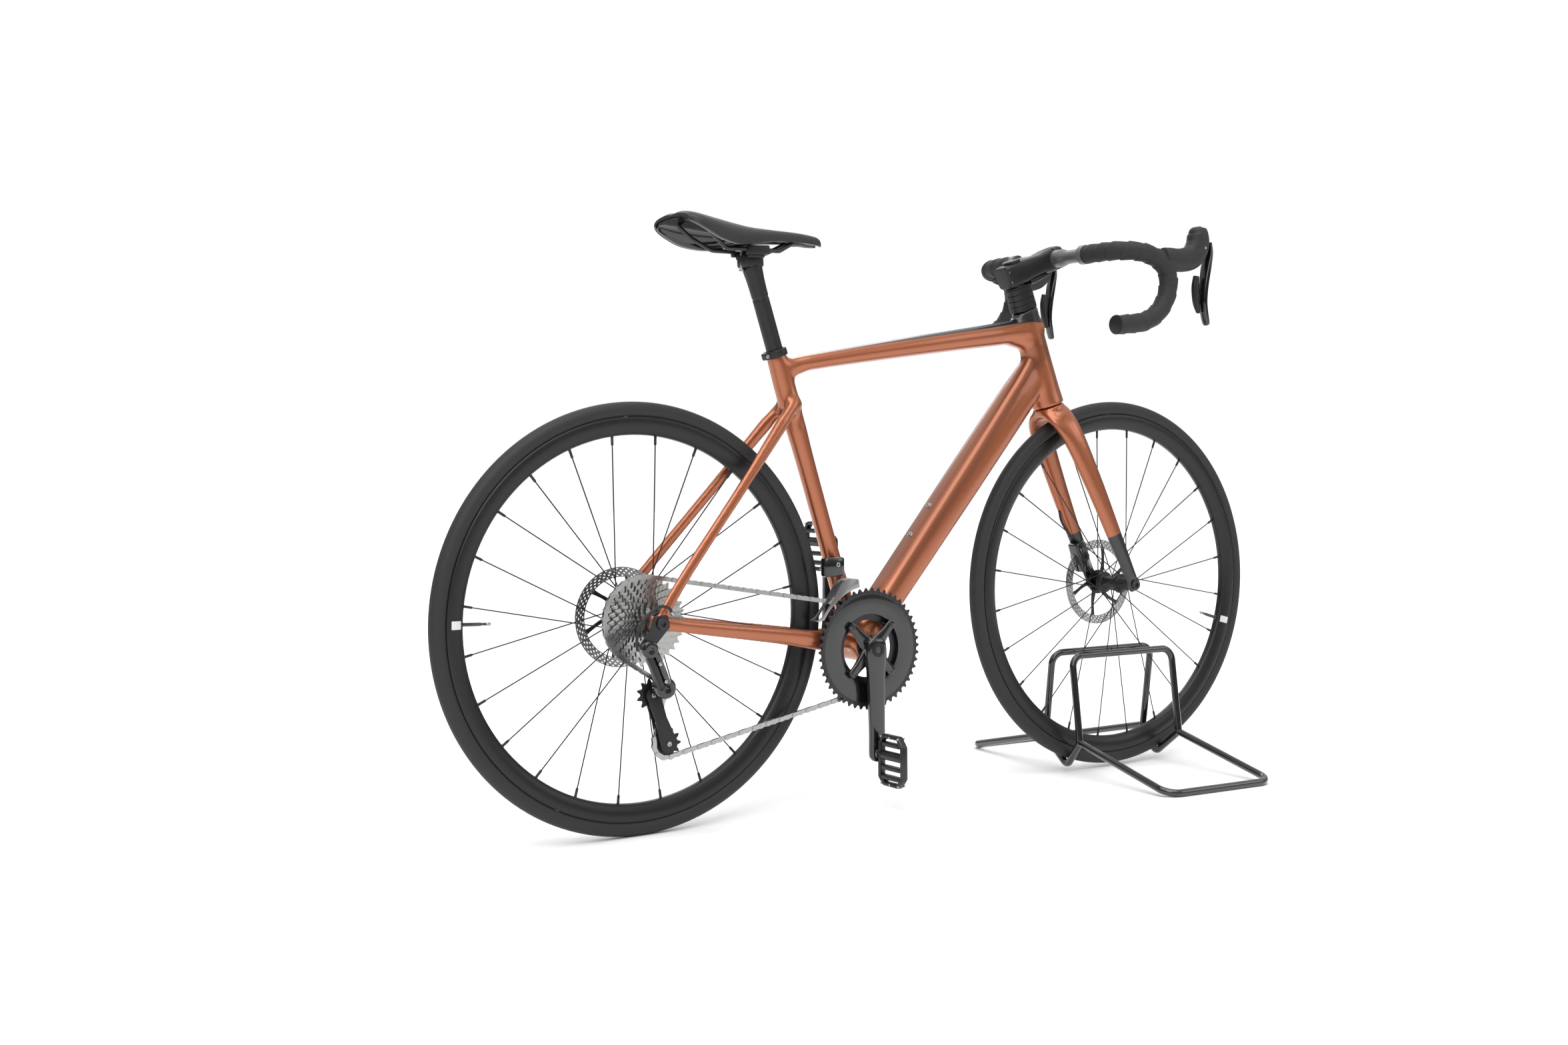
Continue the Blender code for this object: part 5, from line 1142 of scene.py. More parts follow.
def build_rotor(word, axle, rotor_y, inner):
    """A braking band with three rows of slots on a dark swept spider."""
    template = Shape()
    half = 0.0009
    radii = (0.0640, 0.0655, 0.0675, 0.0692, 0.0712, 0.0729, 0.0749, 0.0766, 0.0780, 0.0798)
    columns = 40
    sweep = 2 * math.pi / 12

    def corner(i, j, top):
        angle = sweep * j / columns + (radii[i] - 0.064) * 9.0
        return Vector((radii[i] * math.cos(angle), half if top else -half, radii[i] * math.sin(angle)))

    def solid_cell(i, j):
        if not 0 <= i < len(radii) - 1:
            return False
        row = i // 2
        return i % 2 == 0 or row > 3 or (j + 6 * row) % 10 not in (2, 3, 4, 5)

    for i in range(len(radii) - 1):
        for j in range(columns):
            if not solid_cell(i, j):
                continue
            a, b, c, d = (i, j), (i + 1, j), (i + 1, j + 1), (i, j + 1)
            for top in (0, 1):
                template.add([corner(*spot, top) for spot in (a, b, c, d)], [(0, 1, 2, 3)], STEEL_OF[word])
            neighbours = (((i - 1, j), a, d), ((i + 1, j), b, c), ((i, j - 1), a, b), ((i, j + 1), d, c))
            for other, first, last in neighbours:
                if not solid_cell(other[0], other[1] % columns):
                    template.add([corner(*first, 0), corner(*last, 0), corner(*last, 1), corner(*first, 1)],
                                 [(0, 1, 2, 3)], STEEL_OF[word])
    band = welded(ring_of(template, word + "_rotor_band", axle + Y_AXIS * rotor_y, 12))
    arm = Shape()
    rows = ((inner, 0.00, 0.0052), (0.0230, 0.05, 0.0046), (0.0380, 0.17, 0.0034), (0.0520, 0.27, 0.0032),
            (0.0655, 0.33, 0.0044))
    rings = []
    for r, turn, half_wide in curved(rows, 4):
        centre = Vector((r * math.cos(turn), 0, r * math.sin(turn)))
        across = Vector((-math.sin(turn), 0, math.cos(turn)))
        rings.append(ellipse(centre, across, Y_AXIS, half_wide, 0.0013, 12, 4.0))
    arm.add(*skin(rings), dark_metal)
    arms = ring_of(arm, word + "_rotor_arms", axle + Y_AXIS * rotor_y, 6)
    centre = Shape().turned([(inner, -0.0014), (inner, 0.0014), (0.0225, 0.0014), (0.0225, -0.0014)],
                            dark_metal, axle + Y_AXIS * rotor_y, 60)
    rivet = Shape().bolt(placed(Vector((0.0655, -0.0010, 0)), -Y_AXIS, Z_AXIS), 0.0028, 0.0008, silver)
    rivets = ring_of(rivet, word + "_rivets", axle + Y_AXIS * rotor_y, 6, -0.33)
    lock = Shape().turned([(0.0108, -0.0030), (0.0108, 0.0030), (0.0175, 0.0030), (0.0190, 0.0014),
                           (0.0190, -0.0014), (0.0175, -0.0030)],
                          satin_black, axle + Y_AXIS * (rotor_y + 0.0016), 48)
    shape = join(band, arms, centre.thing("middle"), rivets, lock.thing("lock ring"))
    shape.piece(word + "_rotor", word + "_wheel", word + "_brake_rotor")


STEEL_OF = {}


def welded(thing):
    """Merges a grown shape's seams and turns its faces outward."""
    work = bmesh.new()
    work.from_mesh(thing.data)
    bmesh.ops.remove_doubles(work, verts=work.verts, dist=2e-6)
    bmesh.ops.recalc_face_normals(work, faces=work.faces)
    work.to_mesh(thing.data)
    work.free()
    return thing


def build_wheel(word, axle, flanges, low, high, rotor_y):
    rubber = tyre_rubber(word, axle)
    STEEL_OF[word] = brake_steel(axle)
    body = word + "_wheel"
    tyre = Shape().turned(tyre_profile(), rubber, axle, 200)
    tyre.piece(word + "_tyre_casing", body, word + "_tyre", angle=60)
    rim = Shape().turned(rim_profile(), rim_black(word, axle), axle, 160)
    around = VALVE_ANGLES[word]
    inward = Vector((-math.cos(around), 0, -math.sin(around)))
    valve = placed(axle - inward * 0.2890, inward)
    rim.rod([(0.0046, -0.001), (0.0046, 0.0014), (0.0030, 0.0022), (0.0029, 0.0300), (0.0022, 0.0312),
             (0.0022, 0.0390)], gloss_black, segments=20, place=valve)
    rim.rod([(0.0018, 0.0385), (0.0026, 0.0400), (0.0026, 0.0450), (0.0012, 0.0462)], silver,
            segments=16, place=valve)
    rim.piece(word + "_rim_and_valve", body, word + "_rim", angle=50)
    spokes = build_spokes(word, axle, flanges)
    hub = hub_shape(axle, flanges, low, high).thing("hub barrel", 0.0002)
    join(hub, spokes).piece(word + "_hub_and_spokes", body, word + "_spoked_hub", angle=50)
    build_rotor(word, axle, rotor_y, 0.0124)


def build_wheels():
    build_wheel("front", FRONT_AXLE, ((-0.0215, 0.0200), (0.0215, 0.0180)), -0.0500, 0.0500, 0.0395)
    build_wheel("rear", REAR_AXLE, ((-0.0340, 0.0220), (0.0155, 0.0240)), -0.0710, 0.0230, 0.0540)


# ---------------------------------------------------------------- stand
def build_stand():
    """Six bent tubes: an upright loop and a floor loop on each side, and two vees under the tyre."""
    turn = Matrix.Rotation(math.radians(-4.5), 4, "Z")
    radius, reach, joint, height, floor = 0.0065, 0.1170, 0.0520, 0.0600, 0.0065

    def spot(x, y, z):
        return turn @ Vector((x, y, z)) + Vector((FRONT_AXLE.x, 0, 0))

    shape = Shape()
    for _, side in SIDES:
        upright = [(-reach, side * joint, height), (-reach, side * 0.0292, 0.2170),
                   (reach, side * 0.0292, 0.2170), (reach, side * joint, height)]
        foot = [(-reach, side * joint, height), (-reach, side * 0.2960, floor), (reach, side * 0.2960, floor),
                (reach, side * joint, height)]
        for corners, bend in ((upright, 0.022), (foot, 0.028)):
            shape.tube(rounded([spot(*corner) for corner in corners], bend, 10), radius, stand_paint, 24)
    for end in (-1, 1):
        low = spot(end * reach, 0, 0.0121)
        low.y = end * 0.0040
        vee = [spot(end * reach, -joint, height), low, spot(end * reach, joint, height)]
        shape.tube(rounded(vee, 0.012, 10), radius, stand_paint, 24)
        for _, side in SIDES:
            weld = spot(end * reach, side * joint, height)
            rings = [ellipse(weld + Y_AXIS * side * d, Vector((1, 0, 0)), Z_AXIS, r, r, 24)
                     for d, r in ((-0.0062, 0.0030), (-0.0050, 0.0055), (-0.002, 0.0073), (0.002, 0.0073),
                                  (0.0050, 0.0055), (0.0062, 0.0030))]
            shape.add(*skin(rings), stand_paint)
    shape.piece("stand_tubes", "stand", "stand", angle=60)


# ---------------------------------------------------------------- fork and cockpit
FORK_STATIONS = (
    (-0.012, 0.0453, 0.0560, 0.0105, 0.0045), (0.004, 0.0453, 0.0560, 0.0125, 0.0052),
    (0.030, 0.0415, 0.0560, 0.0130, 0.0060), (0.108, 0.0300, 0.0545, 0.0160, 0.0078),
    (0.200, 0.0180, 0.0510, 0.0190, 0.0090), (0.290, 0.0060, 0.0440, 0.0225, 0.0100),
    (0.325, 0.0010, 0.0360, 0.0255, 0.0105), (0.345, -0.0010, 0.0240, 0.0280, 0.0105),
    (0.3530, 0.0000, 0.0110, 0.0285, 0.0105),
)
CALIPERS = (
    ("rear", REAR_AXLE, (0.0640, 0.0190), Vector((0.985, 0, -0.170)), 0.0540, "frame"),
    ("front", FRONT_AXLE, (-0.0450, 0.0500), STEER_UP, 0.0395, "fork"),
)
BAR_HALF = (
    (0.000, 0.0420, 0.000), (0.000, 0.0900, 0.000), (0.001, 0.1450, 0.000), (0.008, 0.1780, -0.001),
    (0.026, 0.1970, -0.003), (0.050, 0.2030, -0.008), (0.073, 0.2050, -0.018), (0.0880, 0.2070, -0.036),
    (0.0890, 0.2090, -0.060), (0.0790, 0.2110, -0.086), (0.0570, 0.2130, -0.110), (0.0250, 0.2150, -0.125),
    (-0.0100, 0.2170, -0.130), (-0.0430, 0.2180, -0.133),
)
HOOD_STATIONS = (
    (0.4300, 0.9275, 0.0150, 0.0172), (0.4400, 0.9270, 0.0160, 0.0190), (0.4700, 0.9255, 0.0165, 0.0205),
    (0.4980, 0.9330, 0.0170, 0.0215), (0.5120, 0.9520, 0.0175, 0.0215), (0.5135, 0.9720, 0.0165, 0.0190),
    (0.5112, 0.9815, 0.0128, 0.0140), (0.5105, 0.9862, 0.0060, 0.0065),
)
LEVER_STATIONS = (
    (0.5400, 0.9600, 0.0080, 0.0028), (0.5395, 0.9400, 0.0105, 0.0040), (0.5340, 0.9150, 0.0110, 0.0055),
    (0.5290, 0.8850, 0.0095, 0.0055), (0.5270, 0.8550, 0.0085, 0.0050), (0.5310, 0.8300, 0.0080, 0.0045),
    (0.5345, 0.8170, 0.0070, 0.0038), (0.5352, 0.8140, 0.0040, 0.0022),
)
PADDLE_STATIONS = (
    (0.5140, 0.9000, 0.0040, 0.0060), (0.5115, 0.8800, 0.0055, 0.0070), (0.5135, 0.8550, 0.0060, 0.0055),
    (0.5185, 0.8380, 0.0045, 0.0030), (0.5192, 0.8365, 0.0025, 0.0018),
)
LEVER_Y = 0.2060


def build_fork():
    rows = [(s, f, -y, a, t) for s, f, y, a, t in FORK_STATIONS]
    rows += [(0.3540, 0.0, 0.0, 0.0285, 0.0105)]
    rows += [(s, f, y, a, t) for s, f, y, a, t in reversed(FORK_STATIONS)]
    fine = curved(rows, 5)
    centres = [steer(s, f, y) for s, f, y, _, _ in fine]
    rings = []
    for centre, direction, (_, _, _, ahead, thick) in zip(centres, tangents(centres), fine):
        front = (STEER_AHEAD - direction * direction.dot(STEER_AHEAD)).normalized()
        rings.append(ellipse(centre, front, direction.cross(front), ahead, thick, 28, 2.3))
    shape = Shape().add(*skin(rings), fork_paint)
    shape.rod([(0.0285, 0.3500), (0.0280, 0.3640)], fork_paint, segments=64, place=UP_STEERER)
    shape.rod([(0.0143, 0.3480), (0.0143, 0.6260)], fork_paint, segments=48, place=UP_STEERER)
    for side in (-1, 1):
        end = FRONT_AXLE + Y_AXIS * side * 0.0560
        shape.rod([(0.0128, -0.0048), (0.0128, 0.0048)], fork_paint, end, 40)
    blades = blended(shape.thing("fork_shell"), 0.0021, ((steer(0.350), 0.050),), 10)
    hole = Shape().rod([(0.0063, -0.10), (0.0063, 0.10)], dark_metal, FRONT_AXLE, 24)
    cut(blades, hole.thing("fork_hole"))
    settle(smoothed(blades, 50), "fork", "fork")
    axle = Shape()
    axle.rod([(0.0060, -0.0615), (0.0060, 0.0618), (0.0092, 0.0618), (0.0095, 0.0622), (0.0095, 0.0642),
              (0.0088, 0.0650), (0.0036, 0.0650), (0.0034, 0.0620)], dark_metal, FRONT_AXLE, 40)
    axle.piece("front_axle", "fork", "front_thru_axle", bevel=0.0002)


def build_brakes():
    for word, axle, (x, z), along, rotor_y, body in CALIPERS:
        centre = axle + Vector((x, rotor_y, z))
        place = placed(centre, along.normalized())
        shape = Shape()
        shape.block((0.0125, 0.0155, 0.0285), gloss_black, place, 4.0, 40)
        for end in (-1, 1):
            eye = place @ Matrix.Translation((0, 0, end * 0.0225))
            shape.block((0.0085, 0.0158, 0.0060), satin_black, eye, 3.0, 32)
        for side in (-1, 1):
            outwards = Matrix.Rotation(-side * math.pi / 2, 4, "X")
            piston = place @ Matrix.Translation((0, side * 0.0150, 0)) @ outwards
            shape.rod([(0.0100, -0.002), (0.0100, 0.0004), (0.0090, 0.0010)], satin_black,
                      segments=40, place=piston)
            shape.bolt(piston @ Matrix.Translation((0, 0, 0.0006)), 0.0040, 0.0004, silver, 0.45)
        made = shape.thing(word + "_caliper_block", 0.0004)
        slot = Shape().rod([(0.0812, -0.0021), (0.0812, 0.0021)], dark_metal, axle + Y_AXIS * rotor_y, 96)
        cut(made, slot.thing("caliper slot"), crossing=True)
        settle(smoothed(made), body, word + "_brake_caliper")


def bar_point(side, row):
    x, y, z = row
    return BAR_CENTRE + Vector((x, side * y, z))


def wrapped_rings(path, pitch, radius):
    """Rings along a bar whose radius steps up at each turn of the tape."""
    frames = carried_frames(path)
    travelled = 0.0
    rings = []
    for index, (point, (side, up)) in enumerate(zip(path, frames)):
        if index:
            travelled += (point - path[index - 1]).length
        ring = []
        for i in range(40):
            angle = 2 * math.pi * i / 40
            turns = (travelled / pitch + i / 40) % 1.0
            edge = 1.0 if turns > 0.93 else turns
            r = radius - 0.0013 + 0.0018 * (1 - edge)
            ring.append(point + (side * math.cos(angle) + up * math.sin(angle)) * r)
        rings.append(ring)
    return rings


def build_cockpit():
    spacers = Shape()
    edges = (0.5446, 0.5548, 0.5650, 0.5752, 0.5854, 0.5886)
    for low, high in zip(edges, edges[1:]):
        shrink = (low - 0.5446) * 0.022
        outer, inner = [], []
        for s, inset in ((low, 0.0006), (low + 0.0005, 0.0), (high - 0.0008, 0.0), (high - 0.0003, 0.0006)):
            wide, deep = 0.0198 - shrink - inset, 0.0262 - shrink - inset
            outer.append(ellipse(steer(s), Y_AXIS, STEER_AHEAD, wide, deep, 48, 2.3))
        for s in (high - 0.0003, low):
            inner.append(ellipse(steer(s), Y_AXIS, STEER_AHEAD, 0.0147, 0.0147, 48))
        spacers.add(*skin(outer + inner, closed=True), satin_black)
    spacers.piece("spacer_stack", "fork", "headset_spacers")

    rear = steer(0.6105)
    ahead = (BAR_CENTRE - rear).normalized()
    above = Vector((-ahead.z, 0, ahead.x))
    shape = Shape()
    spots = ((rear - ahead * 0.0290, 0.0150, 0.0180), (rear - ahead * 0.0270, 0.0178, 0.0195),
             (rear - ahead * 0.0230, 0.0190, 0.0205), (rear + ahead * 0.0100, 0.0190, 0.0205),
             (rear + ahead * 0.0300, 0.0172, 0.0190), (BAR_CENTRE - ahead * 0.0300, 0.0172, 0.0175),
             (BAR_CENTRE - ahead * 0.0180, 0.0195, 0.0195), (BAR_CENTRE - ahead * 0.0010, 0.0200, 0.0205))
    rings = [ellipse(centre, Y_AXIS, above, width, height, 48, 5.0) for centre, width, height in spots]
    shape.add(*skin(rings), satin_black)
    body = shape.thing("stem_body", 0.0006)
    slab = [ellipse(steer(s), Y_AXIS, STEER_AHEAD, 0.06, 0.06, 4) for s in (0.549, 0.5892)]
    level = Shape().add(*skin(slab), satin_black)
    bore = Shape().rod([(0.0161, -0.05), (0.0161, 0.05)], dark_metal, BAR_CENTRE, 64)
    cut(body, level.thing("stem foot"), bore.thing("bar bore"))
    extra = Shape()
    cover = [ellipse(rear + ahead * d + above * up, Y_AXIS, above, 0.0160, half, 32, 3.0)
             for d, up, half in ((0.0200, -0.0215, 0.0050), (0.0300, -0.0222, 0.0056),
                                 (0.0480, -0.0215, 0.0052), (0.0620, -0.0208, 0.0036),
                                 (0.0640, -0.0205, 0.0020))]
    extra.add(*skin(cover), satin_black)
    extra.rod([(0.0150, 0.6285), (0.0150, 0.6325), (0.0166, 0.6330), (0.0166, 0.6345), (0.0150, 0.6355)],
              satin_black, segments=48, place=UP_STEERER)
    extra.bolt(UP_STEERER @ Matrix.Translation((0, 0, 0.6353)), 0.0044, 0.0012, silver)
    for distance in (0.6010, 0.6190):
        pinch = placed(steer(distance, -0.0225, -0.0150), -Y_AXIS, STEER_UP)
        extra.bolt(pinch, 0.0033, 0.0036, silver)
    join(body, extra.thing("stem extras", 0.0002)).piece("stem_body", "fork", "stem")

    plate = Shape()
    rows = ((0.0010, 0.0205), (0.0150, 0.0205), (0.0180, 0.0190), (0.0203, 0.0150))
    rings = [ellipse(BAR_CENTRE + ahead * d, Y_AXIS, above, 0.0200, h, 48, 5.0) for d, h in rows]
    plate.add(*skin(rings), satin_black)
    front = plate.thing("faceplate", 0.0006)
    window = Shape().block((0.0085, 0.0075, 0.02), satin_black, placed(BAR_CENTRE + ahead * 0.014, ahead))
    bore = Shape().rod([(0.0161, -0.05), (0.0161, 0.05)], dark_metal, BAR_CENTRE, 64)
    cut(front, bore.thing("bar bore"), window.thing("window"))
    bolts = Shape()
    for up in (-0.0145, 0.0145):
        for side in (-0.0140, 0.0140):
            corner = BAR_CENTRE + ahead * 0.0172 + above * up + Y_AXIS * side
            bolts.bolt(placed(corner, ahead), 0.0033, 0.0030, silver)
    join(front, bolts.thing("bolts")).piece("stem_front_plate", "fork", "stem_faceplate")

    centre_line = [bar_point(-1, row) for row in curved(BAR_HALF, 8)][::-1]
    centre_line += [BAR_CENTRE + Y_AXIS * y for y in (-0.036, -0.032, 0.032, 0.036)]
    centre_line += [bar_point(1, row) for row in curved(BAR_HALF, 8)]
    rings = []
    for point, (side, up) in zip(centre_line, carried_frames(centre_line)):
        share = min(1.0, max(0.0, (abs(point.y) - 0.033) / 0.020))
        radius = 0.0159 + (0.0119 - 0.0159) * (share * share * (3 - 2 * share))
        rings.append(ellipse(point, side, up, radius, radius, 32))
    Shape().add(*skin(rings), bare_bar).piece("drop_bar", "fork", "handlebar", angle=60)

    for word, side in SIDES:
        path = [bar_point(side, row) for row in curved(BAR_HALF, 18) if row[1] > 0.0850]
        outer = wrapped_rings(path, sizes().tape_wraps, 0.0165)
        inner = [ellipse(p, s, u, 0.0122, 0.0122, 40) for p, (s, u) in zip(path, carried_frames(path))]
        tape = Shape().add(*skin(outer + inner[::-1], closed=True), bar_tape)
        band = path[:5]
        cuff = [ellipse(p, s, u, 0.0168, 0.0168, 40) for p, (s, u) in zip(band, carried_frames(band))]
        hole = [ellipse(p, s, u, 0.0123, 0.0123, 40) for p, (s, u) in zip(band, carried_frames(band))]
        tape.add(*skin(cuff + hole[::-1], closed=True), bare_bar)
        tip = placed(path[-1], (path[-1] - path[-3]).normalized())
        tape.rod([(0.0110, -0.004), (0.0163, -0.0002), (0.0163, 0.0006), (0.0140, 0.0016)], satin_black,
                 segments=40, place=tip)
        tape.piece("tape_wrap_" + word, "fork", "bar_tape_" + word, angle=50)


def build_controls():
    for word, side in SIDES:
        stations = [(Vector((x, side * LEVER_Y, z)), width, height) for x, z, width, height in HOOD_STATIONS]
        hood = Shape().loft(stations, soft_rubber, 40, 2.3, 8)
        pin = Vector((0.5150, side * (LEVER_Y + 0.0168), 0.9480))
        hood.rod([(0.0022, -0.001), (0.0022, 0.0006)], silver, segments=20,
                 place=placed(pin, Y_AXIS * side, Z_AXIS))
        rear = Vector((0.4300, side * LEVER_Y, 0.9275))
        band = [ellipse(rear + Vector((d, 0, 0)), Y_AXIS, Z_AXIS, 0.0155 + r, 0.0178 + r, 40, 2.3)
                for d, r in ((-0.0020, -0.0012), (-0.0008, 0.0), (0.0018, 0.0004), (0.0034, -0.0010))]
        hood.add(*skin(band), soft_rubber)
        hood.piece("hood_" + word, "fork", "lever_hood_" + word, angle=60)
        lever = [(Vector((x, side * LEVER_Y, z)), width, depth) for x, z, width, depth in LEVER_STATIONS]
        shape = Shape().loft(lever, gloss_black, 32, 2.6, 8)
        shape.piece("lever_blade_" + word, "brake_lever_" + word, "brake_lever_" + word, angle=60)
        paddle = [(Vector((x, side * (LEVER_Y - 0.004), z)), width, depth)
                  for x, z, width, depth in PADDLE_STATIONS]
        shape = Shape().loft(paddle, satin_black, 28, 2.6, 8)
        shape.piece("paddle_blade_" + word, "shift_paddle_" + word, "shift_paddle_" + word, angle=60)


# ---------------------------------------------------------------- drivetrain
SPROCKET_TEETH = (34, 30, 27, 24, 21, 19, 17, 15, 14, 13, 12, 11)


def crank_arm(shape, toward, near_y, end_y):
    rows = ((-0.0190, 0.0100, 0.0060), (-0.0160, 0.0150, 0.0075), (-0.0100, 0.0185, 0.0085),
            (0.0100, 0.0200, 0.0090), (0.0450, 0.0165, 0.0085), (0.1300, 0.0145, 0.0070),
            (0.1725, 0.0150, 0.0065), (0.1815, 0.0120, 0.0060), (0.1850, 0.0085, 0.0054),
            (0.1863, 0.0050, 0.0046))
    rings = []
    for distance, half_width, half_depth in curved(rows, 5):
        share = max(0.0, distance) / CRANK_LENGTH
        centre = CRANK_AXLE + Vector((0, near_y + (end_y - near_y) * share, toward * distance))
        rings.append(ellipse(centre, Vector((1, 0, 0)), Y_AXIS, half_width, half_depth, 40, 3.4))
    shape.add(*skin(rings), gloss_black)


def build_crank():
    right = Shape()
    crank_arm(right, -1, -0.0650, -0.0675)
    right.rod([(0.0120, -0.0560), (0.0120, 0.0600)], steel, CRANK_AXLE, 40)
    for i in range(4):
        turn = Matrix.Translation(CRANK_AXLE) @ Matrix.Rotation(math.radians(45 + 90 * i), 4, "Y")
        rows = ((0.004, 0.0150, 0.0062), (0.020, 0.0125, 0.0056), (0.040, 0.0085, 0.0044),
                (0.054, 0.0078, 0.0038), (0.0605, 0.0060, 0.0034))
        rings = [[turn @ p for p in ellipse(Vector((d, -0.0545, 0)), Y_AXIS, Z_AXIS, deep, wide, 24, 3.0)]
                 for d, wide, deep in curved(rows, 3)]
        right.add(*skin(rings), gloss_black)
        spot = turn @ Vector((0.0535, 0, 0))
        right.rod([(0.0036, 0.0400), (0.0036, 0.0520)], silver, spot, 20)
        right.bolt(across_axle(spot) @ Matrix.Translation((0, 0, 0.0572)), 0.0046, 0.0012, dark_metal, 0.6)
    right.rod([(0.0120, 0.0730), (0.0120, 0.0748), (0.0105, 0.0755), (0.0060, 0.0755), (0.0055, 0.0735)],
              satin_black, CRANK_AXLE, 40)
    eye = CRANK_AXLE + Vector((0, -0.0675, -CRANK_LENGTH))
    right.rod([(0.0045, -0.001), (0.0045, 0.060)], steel, eye, 24)
    right.rod([(0.0085, 0.0060), (0.0085, 0.0075), (0.0070, 0.0078)], silver, eye, 32)
    right.piece("crank_arm_drive_side", "crank", "crank_arm_right", bevel=0.0003, angle=50)
    left = Shape()
    crank_arm(left, 1, 0.0650, 0.0670)
    eye = CRANK_AXLE + Vector((0, 0.0670, CRANK_LENGTH))
    left.rod([(0.0045, -0.060), (0.0045, 0.001)], steel, eye, 24)
    left.rod([(0.0085, -0.0078), (0.0085, -0.0060)], silver, eye, 32)
    left.rod([(0.0105, -0.0765), (0.0120, -0.0755), (0.0120, -0.0720)], satin_black, CRANK_AXLE, 40)
    left.piece("crank_arm_far_side", "crank", "crank_arm_left", bevel=0.0003, angle=50)

    outer = tooth_template(sizes().big_ring_teeth, 0.0790, 0.0014, dark_metal, 0.0016)
    hub = CRANK_AXLE + Y_AXIS * BIG_RING_Y
    ring = welded(ring_of(outer, "outer_ring_teeth", hub, sizes().big_ring_teeth))
    web = Shape()
    web.turned([(0.0585, -0.0012), (0.0585, 0.0012), (0.0660, 0.0020), (0.0800, 0.0020), (0.0920, 0.0013),
                (0.0920, -0.0012)], gloss_black, hub, 96)
    join(web.thing("web"), ring).piece("outer_chainring", "crank", "chainring_outer", angle=45)
    inner = tooth_template(sizes().small_ring_teeth, 0.0600, 0.0010, steel)
    hub = CRANK_AXLE + Y_AXIS * SMALL_RING_Y
    ring = welded(ring_of(inner, "inner_ring_teeth", hub, sizes().small_ring_teeth))
    web = Shape().turned([(0.0480, -0.0012), (0.0480, 0.0012), (0.0605, 0.0012), (0.0605, -0.0012)],
                         dark_metal, hub, 72)
    join(web.thing("web"), ring).piece("inner_chainring", "crank", "chainring_inner", angle=45)


def build_cassette():
    rings = []
    count = sizes().sprockets
    for i in range(count):
        teeth = SPROCKET_TEETH[min(i, len(SPROCKET_TEETH) - 1)]
        y = LARGEST_SPROCKET_Y - SPROCKET_STEP * i
        inner = max(0.0150, pitch_radius(teeth) - 0.0170)
        template = tooth_template(teeth, inner, 0.0008, silver)
        rings.append(welded(ring_of(template, f"sprocket_{i}", REAR_AXLE + Y_AXIS * y, teeth)))
    core = Shape()
    core.turned([(0.0070, 0.0236), (0.0070, 0.0640), (0.0150, 0.0640), (0.0165, 0.0630), (0.0165, 0.0236)],
                dark_metal, REAR_AXLE, 48)
    core.turned([(0.0072, 0.0640), (0.0072, 0.0700), (0.0150, 0.0700), (0.0170, 0.0680), (0.0178, 0.0640)],
                satin_black, REAR_AXLE, 40)
    for i in range(8):
        near = 0.0262 + SPROCKET_STEP * i
        teeth = SPROCKET_TEETH[i]
        r = pitch_radius(teeth) - 0.0160
        if r > 0.0175:
            core.turned([(0.0160, near), (0.0160, near + 0.0018), (r, near + 0.0018), (r, near)],
                        dark_metal, REAR_AXLE, 40)
    join(*rings, core.thing("freehub")).piece("sprocket_stack", "cassette", "cassette", angle=40)


def tangent_points(centre_a, radius_a, centre_b, radius_b, turn):
    """Where a belt leaves circle a and meets circle b; +1 passes above a circle."""
    dx, dz = centre_b.x - centre_a.x, centre_b.z - centre_a.z
    lean = math.asin((turn[1] * radius_b - turn[0] * radius_a) / math.hypot(dx, dz))
    normal = math.atan2(dz, dx) + math.pi / 2 + lean
    offset = Vector((math.cos(normal), 0, math.sin(normal)))
    return centre_a + offset * (turn[0] * radius_a), centre_b + offset * (turn[1] * radius_b)


def wrap(centre, start, end, clockwise, steps):
    a = math.atan2(start.z - centre.z, start.x - centre.x)
    b = math.atan2(end.z - centre.z, end.x - centre.x)
    radius = (start - centre).length
    turn = -((a - b) % (2 * math.pi)) if clockwise else (b - a) % (2 * math.pi)
    angles = [a + turn * i / steps for i in range(steps + 1)]
    return [centre + Vector((radius * math.cos(g), 0, radius * math.sin(g))) for g in angles]


def link_half(shape, y, thick, finish):
    """One figure-of-eight side plate of a link, lying along X."""
    outline = []
    for i in range(14):
        angle = math.pi / 2 + math.pi * i / 13
        outline.append((-0.00635 + 0.0039 * math.cos(angle), 0.0039 * math.sin(angle)))
    outline.append((0.0, -0.0027))
    for i in range(14):
        angle = -math.pi / 2 + math.pi * i / 13
        outline.append((0.00635 + 0.0039 * math.cos(angle), 0.0039 * math.sin(angle)))
    outline.append((0.0, 0.0027))
    place = Matrix.Translation((0, y, 0)) @ Matrix.Rotation(-math.pi / 2, 4, "X")
    shape.plate(outline[::2], thick, finish, place)


